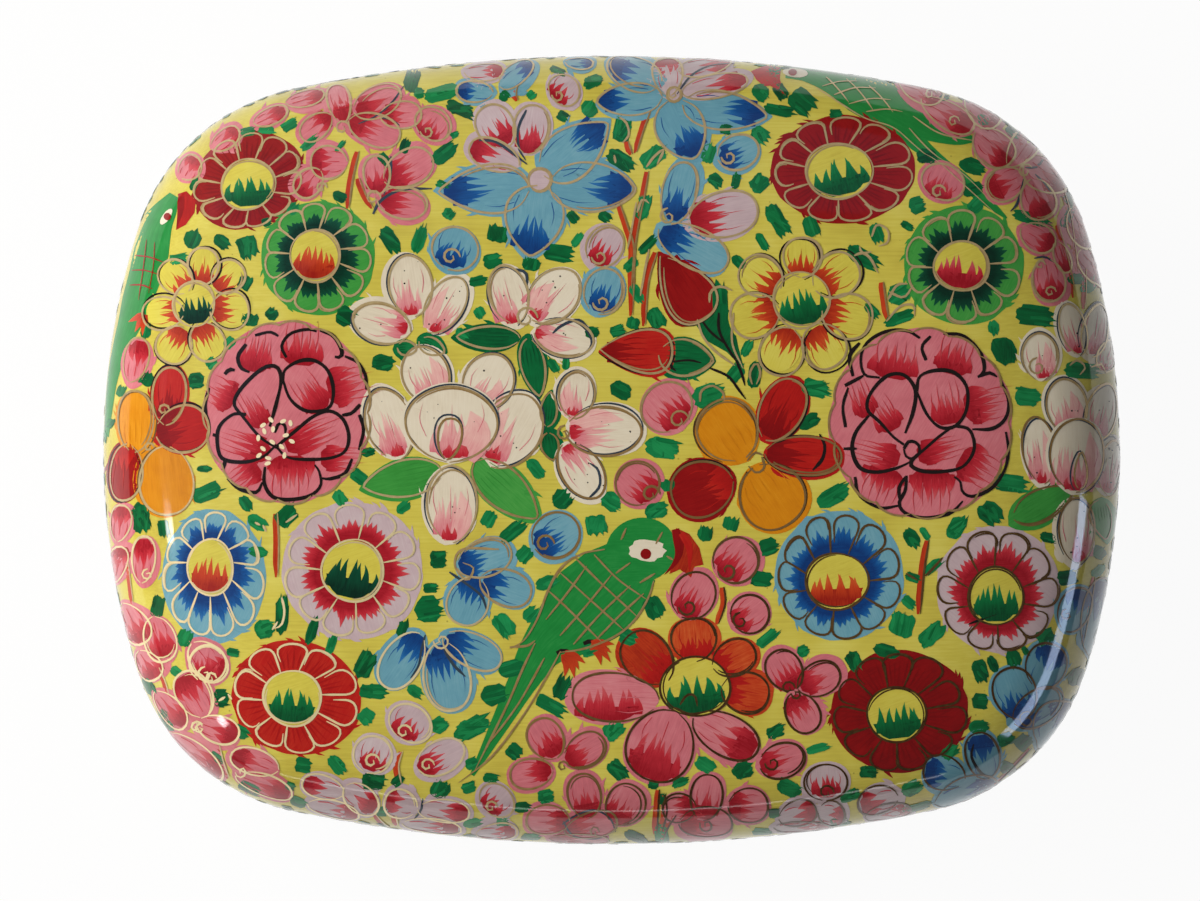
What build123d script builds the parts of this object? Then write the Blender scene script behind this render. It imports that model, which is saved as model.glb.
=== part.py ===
"""Lidded papier-mache trinket box, pillow-shaped, in millimetres.

Two moulded shells, a base and a lift-off lid, meet on level rims. A collar of rolled card is
glued inside the mouth of the base and stands above its rim, so that the lid slips over it and
can't slide off sideways. The origin is the middle of the underside, +X runs along the length.
"""

import os
from math import radians, sin

from build123d import *

# the plan of the box: long sides and short ends bow outwards and meet in round corners
box_length = 152.0
box_width = 118.0
side_radius = 232.0
end_radius = 109.0
corner_radius = 31.0

# the base, a straight-sided tray
base_height = 38.0
base_wall = 3.2
floor_thickness = 3.6
foot_bevel = 1.5  # the eased edge that it stands on
floor_bevel = 2.0  # the paste that fills the corner between wall and floor inside

# the lid: a short skirt, a round shoulder and a low crown that runs out into a level middle
lid_skirt = 8.0
lid_wall = 3.0
shoulder_radius = 15.0
crown_slope = 14.0  # degrees, where the crown leaves the shoulder
crown_end_corner = 2.5  # corner radius left in the plan where the crown becomes level
seam_gap = 0.3  # the lacquer on the two rims keeps the shells this far apart

# the collar, glued in below the rim and sanded back above it
collar_wall = 1.8
collar_glued_depth = 12.0
collar_stand = 7.0
collar_clearance = 0.35
collar_mouth_chamfer = 0.8

rim_bevel = 0.5  # the sanded outer edges of both rims

# what follows from the sizes above
lid_bottom = base_height + seam_gap
crown_reach = corner_radius - crown_end_corner
crown_radius = shoulder_radius + (crown_reach - shoulder_radius) / sin(radians(crown_slope))
collar_bottom = base_height - collar_glued_depth
slip_inset = max(base_wall, lid_wall) + collar_clearance


def outline(inset, height):
    """The box's plan as a level face, drawn in evenly all round by the inset."""
    side_centre = side_radius - box_width / 2
    end_centre = end_radius - box_length / 2
    with BuildSketch(Plane.XY.offset(height)) as level:
        with Locations((0, -side_centre)):
            Circle(side_radius - inset)
        with Locations((0, side_centre)):
            Circle(side_radius - inset, mode=Mode.INTERSECT)
        with Locations((-end_centre, 0)):
            Circle(end_radius - inset, mode=Mode.INTERSECT)
        with Locations((end_centre, 0)):
            Circle(end_radius - inset, mode=Mode.INTERSECT)
        fillet(level.vertices(), corner_radius - inset)
    return level.sketch


def across(path):
    """A plane that cuts a level path at its start, x pointing into the box and y up."""
    along = path % 0
    return Plane(origin=path @ 0, x_dir=Vector(0, 0, 1).cross(along), z_dir=along)


def dome_line(inset):
    """One face of the lid's wall in section, from the rim up the skirt to the level middle."""
    skirt = Line((inset, 0), (inset, lid_skirt))
    shoulder = JernArc(skirt @ 1, skirt % 1, shoulder_radius - inset, crown_slope - 90)
    return JernArc(shoulder @ 1, shoulder % 1, crown_radius - inset, -crown_slope)


# base: a tray with one wall all round and a floor
with BuildPart() as base_shell:
    extrude(outline(0, 0), amount=base_height)
    chamfer(base_shell.edges().group_by(Axis.Z)[0], foot_bevel)
    chamfer(base_shell.edges().group_by(Axis.Z)[-1], rim_bevel)
    extrude(
        outline(base_wall, floor_thickness),
        amount=base_height - floor_thickness,
        mode=Mode.SUBTRACT,
    )
    floor = base_shell.faces().filter_by(Plane.XY).sort_by(Axis.Z)[1]
    chamfer(floor.edges(), floor_bevel)
base_shell.part.label = "base_shell"

# collar: a ring with its lower band against the base's wall and its upper band stepped in
with BuildPart() as collar:
    extrude(outline(base_wall, collar_bottom), amount=collar_glued_depth)
    extrude(outline(slip_inset, base_height), amount=collar_stand)
    extrude(
        outline(slip_inset + collar_wall, collar_bottom),
        amount=collar_glued_depth + collar_stand,
        mode=Mode.SUBTRACT,
    )
    chamfer(collar.edges().group_by(Axis.Z)[-1], collar_mouth_chamfer)
collar.part.label = "collar"

# lid: the wall's section swept round the rim, closed in the middle by a level plate
with BuildPart() as lid_shell:
    rim = outline(0, lid_bottom).wire()
    with BuildSketch(across(rim)) as wall_section:
        with BuildLine():
            outer_crown = dome_line(0)
            inner_crown = dome_line(lid_wall)
            Line((0, 0), (lid_wall, 0))
            Line(outer_crown @ 1, inner_crown @ 1)
        make_face()
        rim_corners = wall_section.vertices().group_by(Axis.Z)[0]
        chamfer(rim_corners.sort_by_distance((0, 0, lid_bottom))[-1], rim_bevel)
    sweep(path=rim)
    plate_top = lid_shell.part.bounding_box().max.Z
    extrude(outline(crown_reach, plate_top), amount=-lid_wall)
lid_shell.part.label = "lid_shell"

os.makedirs("parts", exist_ok=True)
export_step(base_shell.part, "parts/base_shell.step")
export_step(collar.part, "parts/collar.step")
export_step(lid_shell.part, "parts/lid_shell.step")
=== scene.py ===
import math

import bmesh
import bpy
import numpy as np
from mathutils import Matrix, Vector


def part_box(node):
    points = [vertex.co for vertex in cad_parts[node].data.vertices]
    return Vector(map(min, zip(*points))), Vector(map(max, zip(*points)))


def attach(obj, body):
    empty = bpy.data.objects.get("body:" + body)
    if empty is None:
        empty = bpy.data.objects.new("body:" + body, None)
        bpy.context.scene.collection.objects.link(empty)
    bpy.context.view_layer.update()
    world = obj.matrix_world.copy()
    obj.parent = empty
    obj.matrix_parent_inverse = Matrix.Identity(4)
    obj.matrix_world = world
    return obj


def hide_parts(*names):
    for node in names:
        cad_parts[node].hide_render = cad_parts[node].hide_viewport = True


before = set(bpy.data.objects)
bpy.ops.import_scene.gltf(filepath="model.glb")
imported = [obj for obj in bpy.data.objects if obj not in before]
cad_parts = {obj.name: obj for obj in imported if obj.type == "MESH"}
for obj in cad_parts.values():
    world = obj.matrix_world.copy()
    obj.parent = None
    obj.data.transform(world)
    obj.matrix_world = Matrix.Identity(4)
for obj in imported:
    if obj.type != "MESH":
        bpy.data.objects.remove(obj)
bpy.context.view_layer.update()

mm = 0.001
hand = np.random.default_rng(23)  # the painter's hand, the same on every run
vary = hand.uniform  # a little difference from stroke to stroke

# form, in millimetres as the solids have it

lidLow, lidHigh = [np.array(corner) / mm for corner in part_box("lid_shell")]
baseHigh = np.array(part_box("base_shell")[1]) / mm
collarLow, collarHigh = [np.array(corner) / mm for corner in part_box("collar")]

form = {
    "sideBow": 232.0,
    "endBow": 109.0,
    "cornerRound": 31.0,
    "lidSkirt": 8.0,
    "lidWall": 3.0,
    "shoulder": 15.0,
    "crownSlope": math.radians(14),
    "crownEndCorner": 2.5,
    "baseWall": 3.2,
    "floor": 3.6,
    "collarWall": 1.8,
    "rimRound": 0.6,
    "footRound": 1.5,
    "coats": 0.25,        # primer, paint and lacquer: the outer skin of the solids
    "aroundCount": 448,
}

halfLength, halfWidth = lidHigh[0], lidHigh[1]
skirtTop = lidLow[2] + form["lidSkirt"]
crownReach = form["cornerRound"] - form["crownEndCorner"]
crownRadius = form["shoulder"] + (crownReach - form["shoulder"]) / math.sin(form["crownSlope"])
crownCentre = lidHigh[2] - crownRadius
sideCentre = np.array([0.0, halfWidth - form["sideBow"]])
endCentre = np.array([halfLength - form["endBow"], 0.0])


def cornerCentreOf():
    # where the corner arc's centre lies, from the two arcs that it joins
    sideReach = form["sideBow"] - form["cornerRound"]
    endReach = form["endBow"] - form["cornerRound"]
    across = endCentre - sideCentre
    gap = np.linalg.norm(across)
    along = (sideReach**2 - endReach**2 + gap**2) / (2 * gap)
    off = math.sqrt(sideReach**2 - along**2)
    unit = across / gap
    return sideCentre + unit * along + np.array([unit[1], -unit[0]]) * off


cornerCentre = cornerCentreOf()


def rimInset(x, y):
    # distance inside the plan's outline, and the unit vector towards it
    ax, ay = np.abs(x), np.abs(y)
    arcs = []
    for centre, radius in ((sideCentre, form["sideBow"]), (endCentre, form["endBow"]),
                           (cornerCentre, form["cornerRound"])):
        dx, dy = ax - centre[0], ay - centre[1]
        reach = np.hypot(dx, dy) + 1e-9
        arcs.append((radius - reach, dx / reach, dy / reach))
    onSide = ax * (cornerCentre[1] - sideCentre[1]) <= (ay - sideCentre[1]) * cornerCentre[0]
    onEnd = ay * (cornerCentre[0] - endCentre[0]) <= (ax - endCentre[0]) * cornerCentre[1]
    side, end, corner = arcs
    sideFirst = onSide & (~onEnd | (side[0] <= end[0]))
    endFirst = onEnd & ~sideFirst
    inset, outX, outY = [np.where(sideFirst, s, np.where(endFirst, e, c))
                         for s, e, c in zip(side, end, corner)]
    return inset, outX * np.where(x < 0, -1, 1), outY * np.where(y < 0, -1, 1)


def lidSurface(x, y):
    # the painted face of the lid over a point of the plan, and its normal
    coats = form["coats"]
    inset, outX, outY = rimInset(x, y)
    inner = form["shoulder"] - coats
    crown = crownRadius - coats
    shoulderEnd = form["shoulder"] - inner * math.sin(form["crownSlope"])
    onShoulder = inset < shoulderEnd
    lean = np.where(onShoulder, (form["shoulder"] - inset) / inner, (crownReach - inset) / crown)
    lean = np.clip(lean, 0, 1)
    rise = np.sqrt(1 - lean**2)
    height = np.where(onShoulder, skirtTop + inner * rise, crownCentre + crown * rise)
    below = np.clip(coats - inset, 0, None)  # past the rim it runs down the skirt
    place = np.stack([x - outX * below, y - outY * below, height - below], -1)
    return place, np.stack([outX * lean, outY * lean, rise], -1)


view = {
    "height": 800.0,           # of the camera above the floor, mm
    "middle": (-1.72, -0.07),  # the point of the plan under it
    "span": 179.04,            # what the frame's width takes in at the rim
}


brush = {
    "side": "lid",  # or "wall"
    "inset": None,  # how far inside the rim the shape being painted has its middle, mm
    "raised": 0.0,  # mm, for what lies over its neighbours
}


def turned(middle, along, across, degrees):
    # a place given along and across a direction, as a point of the face
    cos, sin = math.cos(math.radians(degrees)), math.sin(math.radians(degrees))
    return np.stack([middle[0] + along * cos - across * sin,
                     middle[1] + along * sin + across * cos], -1)


def roundTurns(count):
    return np.linspace(0, 2 * math.pi, count, endpoint=False)


def ellipse(x, y, rx, ry, tilt, turns):
    return turned((x, y), rx * np.cos(turns), ry * np.sin(turns), tilt)


def fall(inset):
    # how much a length towards the rim is foreshortened from above
    return np.sqrt(1 - np.clip(1 - inset / form["shoulder"], 0, 0.9) ** 2)


def keepShape(plan):
    # near the rim a flower keeps its own proportions instead of being drawn out down the side
    reach = form["shoulder"]
    middle = min(max(brush["inset"], 1.2), reach)
    inset, outX, outY = rimInset(*plan.T)
    run = reach * math.acos(1 - middle / reach) + (inset - brush["inset"]) / fall(middle)
    kept = np.where(run > 0, reach * (1 - np.cos(np.clip(run / reach, 0, 1.4))), run)
    move = (inset - kept) * np.clip((12 - inset) / 6, 0, 1)
    return plan + np.stack([outX, outY], 1) * move[:, None]


def evenWidth(path, half):
    # a line's width on the face stays the same where the face turns down
    if brush["side"] != "lid":
        return half
    inset, outX, outY = rimInset(*path.T)
    way = np.stack([outX, outY], 1)
    across = (half * way).sum(axis=1)
    inset = inset if brush["inset"] is None else np.full(len(path), max(brush["inset"], 1.2))
    return half - way * (across * (1 - fall(inset)))[:, None]


def onLid(spots, lift):
    # lengths are read at the height of the rim: higher up, the eye sees them larger
    middle = np.array(view["middle"])
    plan = spots.copy()
    for _ in range(3):
        height = lidSurface(*plan.T)[0][:, 2]
        shrink = (view["height"] - height) / (view["height"] - skirtTop)
        plan = middle + (spots - middle) * np.clip(shrink, 0.9, 1.0)[:, None]
    if brush["inset"] is not None and brush["inset"] < 7:
        plan = keepShape(plan)
    place, normal = lidSurface(*plan.T)
    return place + normal * lift[:, None], normal


def walkedAlong(points):
    return np.concatenate([[0], np.cumsum(np.linalg.norm(np.diff(points, axis=0), axis=1))])


def outlineRing(inset, count):
    # evenly spaced points round the plan from the middle of the right end, and the way out
    cornerFrom = math.atan2(*(cornerCentre - endCentre)[::-1])
    cornerTo = math.atan2(*(cornerCentre - sideCentre)[::-1])
    points, ways = [], []
    for centre, radius, start, stop in (
            (endCentre, form["endBow"], 0, cornerFrom),
            (cornerCentre, form["cornerRound"], cornerFrom, cornerTo),
            (sideCentre, form["sideBow"], cornerTo, math.pi / 2)):
        turn = np.linspace(start, stop, 120)[:-1]
        way = np.stack([np.cos(turn), np.sin(turn)], 1)
        points.append(centre + way * (radius - inset))
        ways.append(way)
    quarter, quarterWay = np.vstack(points), np.vstack(ways)
    flip = np.array([-1, 1])
    half = np.vstack([quarter, [[0, halfWidth - inset]], quarter[:0:-1] * flip])
    halfWay = np.vstack([quarterWay, [[0, 1]], quarterWay[:0:-1] * flip])
    whole = np.vstack([half, -half, half[:1]])
    wholeWay = np.vstack([halfWay, -halfWay, halfWay[:1]])
    walked = walkedAlong(whole)
    stops = np.linspace(0, walked[-1], count, endpoint=False)
    ring = [np.interp(stops, walked, column) for column in (*whole.T, *wholeWay.T)]
    return np.stack(ring[:2], 1), np.stack(ring[2:], 1), walked[-1]


wallPoints, wallWays, wallLength = outlineRing(form["coats"], 1440)


def onWall(spots, lift):
    # the upright wall: x runs round the box to the right, y is the height, and above the lid's
    # skirt the way up its shoulder
    stop = np.mod(spots[:, 0], wallLength) / wallLength * len(wallPoints)
    low = np.floor(stop).astype(int) % len(wallPoints)
    high, share = (low + 1) % len(wallPoints), (stop - np.floor(stop))[:, None]
    place = wallPoints[low] * (1 - share) + wallPoints[high] * share
    way = wallWays[low] * (1 - share) + wallWays[high] * share
    inner = form["shoulder"] - form["coats"]
    turn = np.clip(spots[:, 1] - skirtTop, 0, None) / inner
    place = place - way * (inner * (1 - np.cos(turn)))[:, None]
    height = np.where(turn > 0, skirtTop + inner * np.sin(turn), spots[:, 1])
    normal = np.column_stack([way * np.cos(turn)[:, None], np.sin(turn)])
    return np.column_stack([place, height]) + normal * lift[:, None], normal


# materials

def srgb(text):
    # an sRGB hex value as Blender's linear colour
    parts = [int(text[at:at + 2], 16) / 255 for at in (0, 2, 4)]
    return [p / 12.92 if p <= 0.04045 else ((p + 0.055) / 1.055) ** 2.4 for p in parts] + [1.0]


def addNode(tree, kind, settings):
    # a node with its settings; a socket given as a value is linked
    node = tree.nodes.new("ShaderNode" + kind)
    for name, value in settings.items():
        if not (isinstance(name, int) or name in node.inputs):
            setattr(node, name, value)
        elif isinstance(value, bpy.types.NodeSocket):
            tree.links.new(value, node.inputs[name])
        else:
            node.inputs[name].default_value = value
    return node


def newMaterial(name):
    material = bpy.data.materials.new(name)
    material.use_nodes = True
    material.node_tree.nodes.clear()
    return material, material.node_tree


def perMetre(size):
    return 1 / (size * mm)  # a noise scale for details of this many millimetres


lacquer = {
    "gloss": 0.07,          # roughness of the varnish
    "clearness": 1.5,       # its IOR, as copal and oil varnish have
    "ripple": 5.0,          # mm, the brushed varnish settles in long waves
    "rippleDepth": 0.018,   # mm
    "underRoughness": 0.6,
    "underShine": 0.1,      # paint under varnish of nearly its own IOR hardly shines by itself
    "darkest": 0.32,        # where on the noise's range the first shade ends, and the last begins
    "darkestStroke": 0.18,  # the same for a paint whose strokes differ in tone
}


def lacquered(name, shades, streak, streakShare, mottle, mottleShare, toneShare=0.0,
              onObject=False, metallic=0.0, roughness=None, speck=None, relief=0.006):
    # opaque water paint under a brushed clear varnish: fine streaks, a gloss that runs over all
    material, tree = newMaterial(name)
    output = addNode(tree, "OutputMaterial", {})
    coords = addNode(tree, "TexCoord", {})
    along = coords.outputs["Object"] if onObject else coords.outputs["UV"]
    fine, long = perMetre(streak[0]), perMetre(streak[1])
    drawn = addNode(tree, "Mapping", {
        "Vector": along, "Scale": (long, fine, fine) if onObject else (fine, long, 1)})
    streaks = addNode(tree, "TexNoise", {
        "Vector": drawn.outputs["Vector"], "Scale": 1, "Detail": 3, "Roughness": 0.6})
    clouds = addNode(tree, "TexNoise", {
        "Vector": coords.outputs["Object"], "Scale": perMetre(mottle), "Detail": 3})
    mixed = addNode(tree, "Math", {
        "operation": "MULTIPLY_ADD", 0: streaks.outputs["Fac"], 1: streakShare,
        2: 0.5 - 0.5 * (streakShare + mottleShare + toneShare)})
    mixed = addNode(tree, "Math", {
        "operation": "MULTIPLY_ADD", 0: clouds.outputs["Fac"], 1: mottleShare, 2: mixed.outputs[0]})
    if toneShare:
        tone = addNode(tree, "Attribute", {"attribute_name": "tone"})
        mixed = addNode(tree, "Math", {
            "operation": "MULTIPLY_ADD", 0: tone.outputs["Fac"], 1: toneShare, 2: mixed.outputs[0]})
    ramp = addNode(tree, "ValToRGB", {"Fac": mixed.outputs[0]})
    elements = ramp.color_ramp.elements
    edge = lacquer["darkestStroke" if toneShare else "darkest"]
    stops = np.linspace(edge, 1 - edge, len(shades))
    for _ in shades[2:]:
        elements.new(0.5)
    for element, stop, shade in zip(elements, stops, shades):
        element.position = stop
        element.color = srgb(shade)
    colour = ramp.outputs["Color"]
    if speck:
        grit = addNode(tree, "TexVoronoi", {
            "Vector": coords.outputs["Object"], "Scale": perMetre(speck[0])})
        hit = addNode(tree, "MapRange", {
            "Value": grit.outputs["Distance"], "From Min": speck[1], "From Max": speck[1] * 1.6,
            "To Min": speck[2], "To Max": 0.0})
        dark = addNode(tree, "Mix", {
            "data_type": "RGBA", 0: hit.outputs["Result"], 6: colour, 7: srgb(speck[3])})
        colour = dark.outputs[2]
    waves = addNode(tree, "TexNoise", {
        "Vector": coords.outputs["Object"], "Scale": perMetre(lacquer["ripple"]), "Detail": 2})
    settled = addNode(tree, "Bump", {
        "Height": waves.outputs["Fac"], "Distance": lacquer["rippleDepth"] * mm, "Strength": 1.0})
    ridges = addNode(tree, "Bump", {
        "Height": streaks.outputs["Fac"], "Distance": relief * mm, "Strength": 1.0,
        "Normal": settled.outputs["Normal"]})
    shader = addNode(tree, "BsdfPrincipled", {
        "Base Color": colour, "Metallic": metallic,
        "Roughness": lacquer["underRoughness"] if roughness is None else roughness,
        "Specular IOR Level": lacquer["underShine"], "Coat Weight": 1.0,
        "Coat Roughness": lacquer["gloss"], "Coat IOR": lacquer["clearness"],
        "Normal": ridges.outputs["Normal"], "Coat Normal": settled.outputs["Normal"]})
    tree.links.new(shader.outputs["BSDF"], output.inputs["Surface"])
    return material


# camera, light and table

cameraData = bpy.data.cameras.new("viewFromAbove")
cameraData.lens = cameraData.sensor_width * (view["height"] - skirtTop) / view["span"]
cameraData.clip_start = 0.01
camera = bpy.data.objects.new("viewFromAbove", cameraData)
camera.location = (view["middle"][0] * mm, view["middle"][1] * mm, view["height"] * mm)
scene = bpy.context.scene
scene.collection.objects.link(camera)
scene.camera = camera
scene.view_settings.view_transform = "Standard"

lamps = {
    # name: place, aim, width, height (m), watts, colour, where it shows: on the paint, in the varnish
    "bigSoftbox": ((-0.38, 0.10, 0.43), (0, 0, 0.05), 0.6, 0.5, 3.75, "FFF9F0", "paint"),
    "frontFill": ((-0.15, -0.60, 0.40), (0, 0, 0.04), 0.7, 0.3, 0.2, "FFFDF8", "paint"),
    "skyNarrow": ((-0.35, 0.45, 1.15), (0, 0, 0.05), 1.5, 0.35, 0.4, "A4C8FF", "varnish"),
    "skyMiddle": ((-0.35, 0.45, 1.15), (0, 0, 0.05), 1.7, 0.60, 0.7, "A4C8FF", "varnish"),
    "skyWide": ((-0.35, 0.45, 1.15), (0, 0, 0.05), 1.9, 0.85, 1.1, "A4C8FF", "varnish"),
    "paleWall": ((-0.50, 0.55, 0.45), (0, 0, 0.05), 1.1, 0.8, 0.7, "F0F5FF", "both"),
    "paleCorner": ((-0.55, -0.45, 0.30), (0, 0, 0.05), 0.7, 0.4, 0.3, "FFF6F4", "both"),
    "sideWindow": ((0.60, -0.28, 0.22), (0.06, -0.03, 0.05), 0.5, 0.13, 1.6, "C8DCFF", "varnish"),
    "frontSlit": ((0.0, -0.60, 0.16), (0, -0.05, 0.05), 0.5, 0.02, 0.10, "FFFFFF", "varnish"),
    "lowWindow": ((-0.36, -0.34, 0.33), (-0.05, -0.04, 0.06), 0.03, 0.08, 0.14, "FFFFFF", "varnish"),
    "farWindow": ((-0.45, -0.06, 0.52), (-0.05, -0.01, 0.06), 0.02, 0.09, 0.12, "FFFFFF", "varnish"),
}
studio = {"world": "F6F7FA", "worldStrength": 0.07, "floor": "F7F7F5", "floorGlow": 0.95}


def addLamps():
    for name, (place, aim, width, height, watts, colour, shows) in lamps.items():
        data = bpy.data.lights.new(name, "AREA")
        data.shape = "RECTANGLE"
        data.size, data.size_y = width, height
        data.energy = watts
        data.color = srgb(colour)[:3]
        lamp = bpy.data.objects.new(name, data)
        lamp.location = place
        lamp.rotation_euler = (Vector(aim) - Vector(place)).to_track_quat("-Z", "Y").to_euler()
        lamp.visible_glossy = shows != "paint"
        lamp.visible_diffuse = shows != "varnish"
        scene.collection.objects.link(lamp)
    world = bpy.data.worlds.new("softRoom")
    scene.world = world
    world.use_nodes = True
    backdrop = world.node_tree.nodes["Background"]
    backdrop.inputs["Color"].default_value = srgb(studio["world"])
    backdrop.inputs["Strength"].default_value = studio["worldStrength"]


def addFloor():
    bpy.ops.object.select_all(action="DESELECT")
    bpy.ops.mesh.primitive_plane_add(size=6, location=(0, 0, 0))
    floor = bpy.context.object
    floor.name = "paleTable"
    # white coated board: flat and even, and the eye sees it white
    material, tree = newMaterial("whiteBoardMatt")
    path = addNode(tree, "LightPath", {})
    seen = addNode(tree, "Math", {
        "operation": "MAXIMUM", 0: path.outputs["Is Camera Ray"], 1: path.outputs["Is Glossy Ray"]})
    seen = addNode(tree, "Math", {
        "operation": "MAXIMUM", 0: seen.outputs[0], 1: path.outputs["Is Transmission Ray"]})
    share = addNode(tree, "Math", {
        "operation": "MULTIPLY", 0: seen.outputs[0], 1: studio["floorGlow"]})
    board = addNode(tree, "BsdfDiffuse", {"Color": srgb(studio["floor"])})
    glow = addNode(tree, "Emission", {"Color": (1, 1, 1, 1), "Strength": 1.0})
    both = addNode(tree, "MixShader", {
        0: share.outputs[0], 1: board.outputs["BSDF"], 2: glow.outputs["Emission"]})
    addNode(tree, "OutputMaterial", {"Surface": both.outputs["Shader"]})
    floor.data.materials.append(material)


addLamps()
addFloor()
print("camera, lamps and table are set")

# the three shells

yellowGround = lacquered(
    # papier mache primed with chalk, painted yellow and varnished: fine brushing, a few specks
    "papierMacheYellowVarnished", ["C2B044", "D6C953", "E2D96C"], streak=(0.3, 9.0),
    streakShare=0.32, mottle=9.0, mottleShare=0.5, onObject=True, relief=0.008,
    speck=(3.0, 0.035, 0.5, "6F5F22"))
blackInside = lacquered(
    # lamp-black paint under the same varnish, wiped on inside and below: deep, a little uneven
    "papierMacheBlackVarnished", ["0B0A0A", "15130F", "221D18"], streak=(0.5, 12.0),
    streakShare=0.5, mottle=14.0, mottleShare=0.6, onObject=True, relief=0.012)


def ringPoints(inset, height, count):
    # one level of a shell; past the corners' own radius the ring is drawn in to the middle
    ring, _, _ = outlineRing(min(inset, crownReach), count)
    if inset > crownReach:
        ring = ring * (1 - (inset - crownReach) / (halfWidth - crownReach))
    return np.column_stack([ring, np.full(count, height)])


def ringShell(name, levels, closing, finishes, innerFrom):
    # a circle of vertices is extruded level by level; from innerFrom on it has the second finish
    count = form["aroundCount"]
    bpy.ops.object.select_all(action="DESELECT")
    bpy.ops.mesh.primitive_circle_add(vertices=count, radius=halfLength * mm, fill_type="NOTHING")
    shell = bpy.context.object
    shell.name = name
    shell.data.name = name
    for finish in finishes:
        shell.data.materials.append(finish)
    bpy.ops.object.mode_set(mode="EDIT")
    mesh = bmesh.from_edit_mesh(shell.data)
    turn = mesh.verts.layers.int.new("turn")
    rank = mesh.verts.layers.int.new("rank")
    for vertex in mesh.verts:
        angle = math.atan2(vertex.co.y, vertex.co.x) % (2 * math.pi)
        vertex[turn] = round(angle / (2 * math.pi) * count) % count
    bpy.ops.mesh.select_all(action="SELECT")
    for step, (inset, height) in enumerate(levels):
        if step:
            bpy.ops.mesh.extrude_region_move()
        mesh = bmesh.from_edit_mesh(shell.data)
        turn, rank = mesh.verts.layers.int["turn"], mesh.verts.layers.int["rank"]
        ring = ringPoints(inset, height, count) * mm
        for vertex in mesh.verts:
            if vertex.select:
                vertex.co = ring[vertex[turn]]
                vertex[rank] = step
        bmesh.update_edit_mesh(shell.data)
    if closing == "loop":
        bpy.ops.mesh.select_all(action="SELECT")
        bpy.ops.mesh.region_to_loop()
        bpy.ops.mesh.bridge_edge_loops()
    else:
        bpy.ops.mesh.select_mode(type="VERT")
        for end in (0, len(levels) - 1):
            bpy.ops.mesh.select_all(action="DESELECT")
            mesh = bmesh.from_edit_mesh(shell.data)
            rank = mesh.verts.layers.int["rank"]
            for vertex in mesh.verts:
                vertex.select_set(vertex[rank] == end)
            mesh.select_flush_mode()
            bmesh.update_edit_mesh(shell.data)
            bpy.ops.mesh.edge_face_add()
            bpy.ops.mesh.poke()
    mesh = bmesh.from_edit_mesh(shell.data)
    rank = mesh.verts.layers.int["rank"]
    for face in mesh.faces:
        face.material_index = int(max(vertex[rank] for vertex in face.verts) >= innerFrom)
    bmesh.update_edit_mesh(shell.data)
    bpy.ops.mesh.select_all(action="SELECT")
    bpy.ops.mesh.normals_make_consistent(inside=False)
    bpy.ops.object.mode_set(mode="OBJECT")
    bpy.ops.object.shade_smooth()
    for layer in ("turn", "rank"):
        shell.data.attributes.remove(shell.data.attributes[layer])
    return shell


def arcLevels(inset, height, radius, start, stop, steps):
    # levels along an arc about a point; 0 degrees points outwards and 90 points up
    turns = np.radians(np.linspace(start, stop, steps))
    return [(inset - radius * math.cos(t), height + radius * math.sin(t)) for t in turns]


def straight(levels, toLevel, steps):
    shares = np.linspace(0, 1, steps + 1)[1:]
    return [tuple(np.array(levels[-1]) * (1 - s) + np.array(toLevel) * s) for s in shares]


def domeLevels(depth):
    # the lid's section at this depth below the skin, from the middle of the plate to the skirt
    levels = [(halfWidth * 0.99, lidHigh[2] - depth)]
    levels += straight(levels, (crownReach, lidHigh[2] - depth), 8)
    slope = math.degrees(form["crownSlope"])
    levels += arcLevels(crownReach, crownCentre, crownRadius - depth, 90, 90 - slope, 14)[1:]
    levels += arcLevels(form["shoulder"], skirtTop, form["shoulder"] - depth, 90 - slope, 0, 28)[1:]
    return levels


def baseLevels():
    coats, wall, rim, foot = form["coats"], form["baseWall"], form["rimRound"], form["footRound"]
    top, floor = baseHigh[2], form["floor"]
    levels = [(halfWidth * 0.99, 0)]
    levels += straight(levels, (coats + foot, 0), 8)
    levels += arcLevels(coats + foot, foot, foot, -90, 0, 7)[1:]
    levels += straight(levels, (coats, top - rim), 12)
    levels += arcLevels(coats + rim, top - rim, rim, 0, 90, 6)[1:]
    outer = len(levels)
    levels += arcLevels(wall - rim, top - rim, rim, 90, 180, 6)
    levels += straight(levels, (wall, floor + 2), 10)
    levels += arcLevels(wall + 2, floor + 2, 2, 0, -90, 6)[1:]
    levels += straight(levels, (halfWidth * 0.99, floor), 8)
    return levels, outer


def lidLevels():
    coats, wall, rim = form["coats"], form["lidWall"], form["rimRound"]
    low = lidLow[2]
    levels = domeLevels(coats)
    levels += straight(levels, (coats, low + rim), 6)
    levels += arcLevels(coats + rim, low + rim, rim, 0, -90, 6)[1:]
    outer = len(levels)
    levels += arcLevels(wall - rim, low + rim, rim, -90, -180, 6)
    levels += straight(levels, (wall, skirtTop), 5)[:-1]
    return levels + domeLevels(wall)[::-1], outer


def collarLevels():
    # proud of the base's rim, its mouth rounded; it fills the gap between itself and the wall
    outer = form["baseWall"]
    slip = halfWidth - collarHigh[1]
    inner, rim = slip + form["collarWall"], form["rimRound"]
    low, top, seat = collarLow[2], collarHigh[2], baseHigh[2]
    levels = [(outer, low), (outer, seat - 0.05), (slip, seat + 0.02)]
    levels += straight(levels, (slip, top - rim), 4)
    levels += arcLevels(slip + rim, top - rim, rim, 0, 90, 6)[1:]
    levels += arcLevels(inner - rim, top - rim, rim, 90, 180, 6)
    levels += straight(levels, (inner, low), 8)
    return levels


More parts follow.
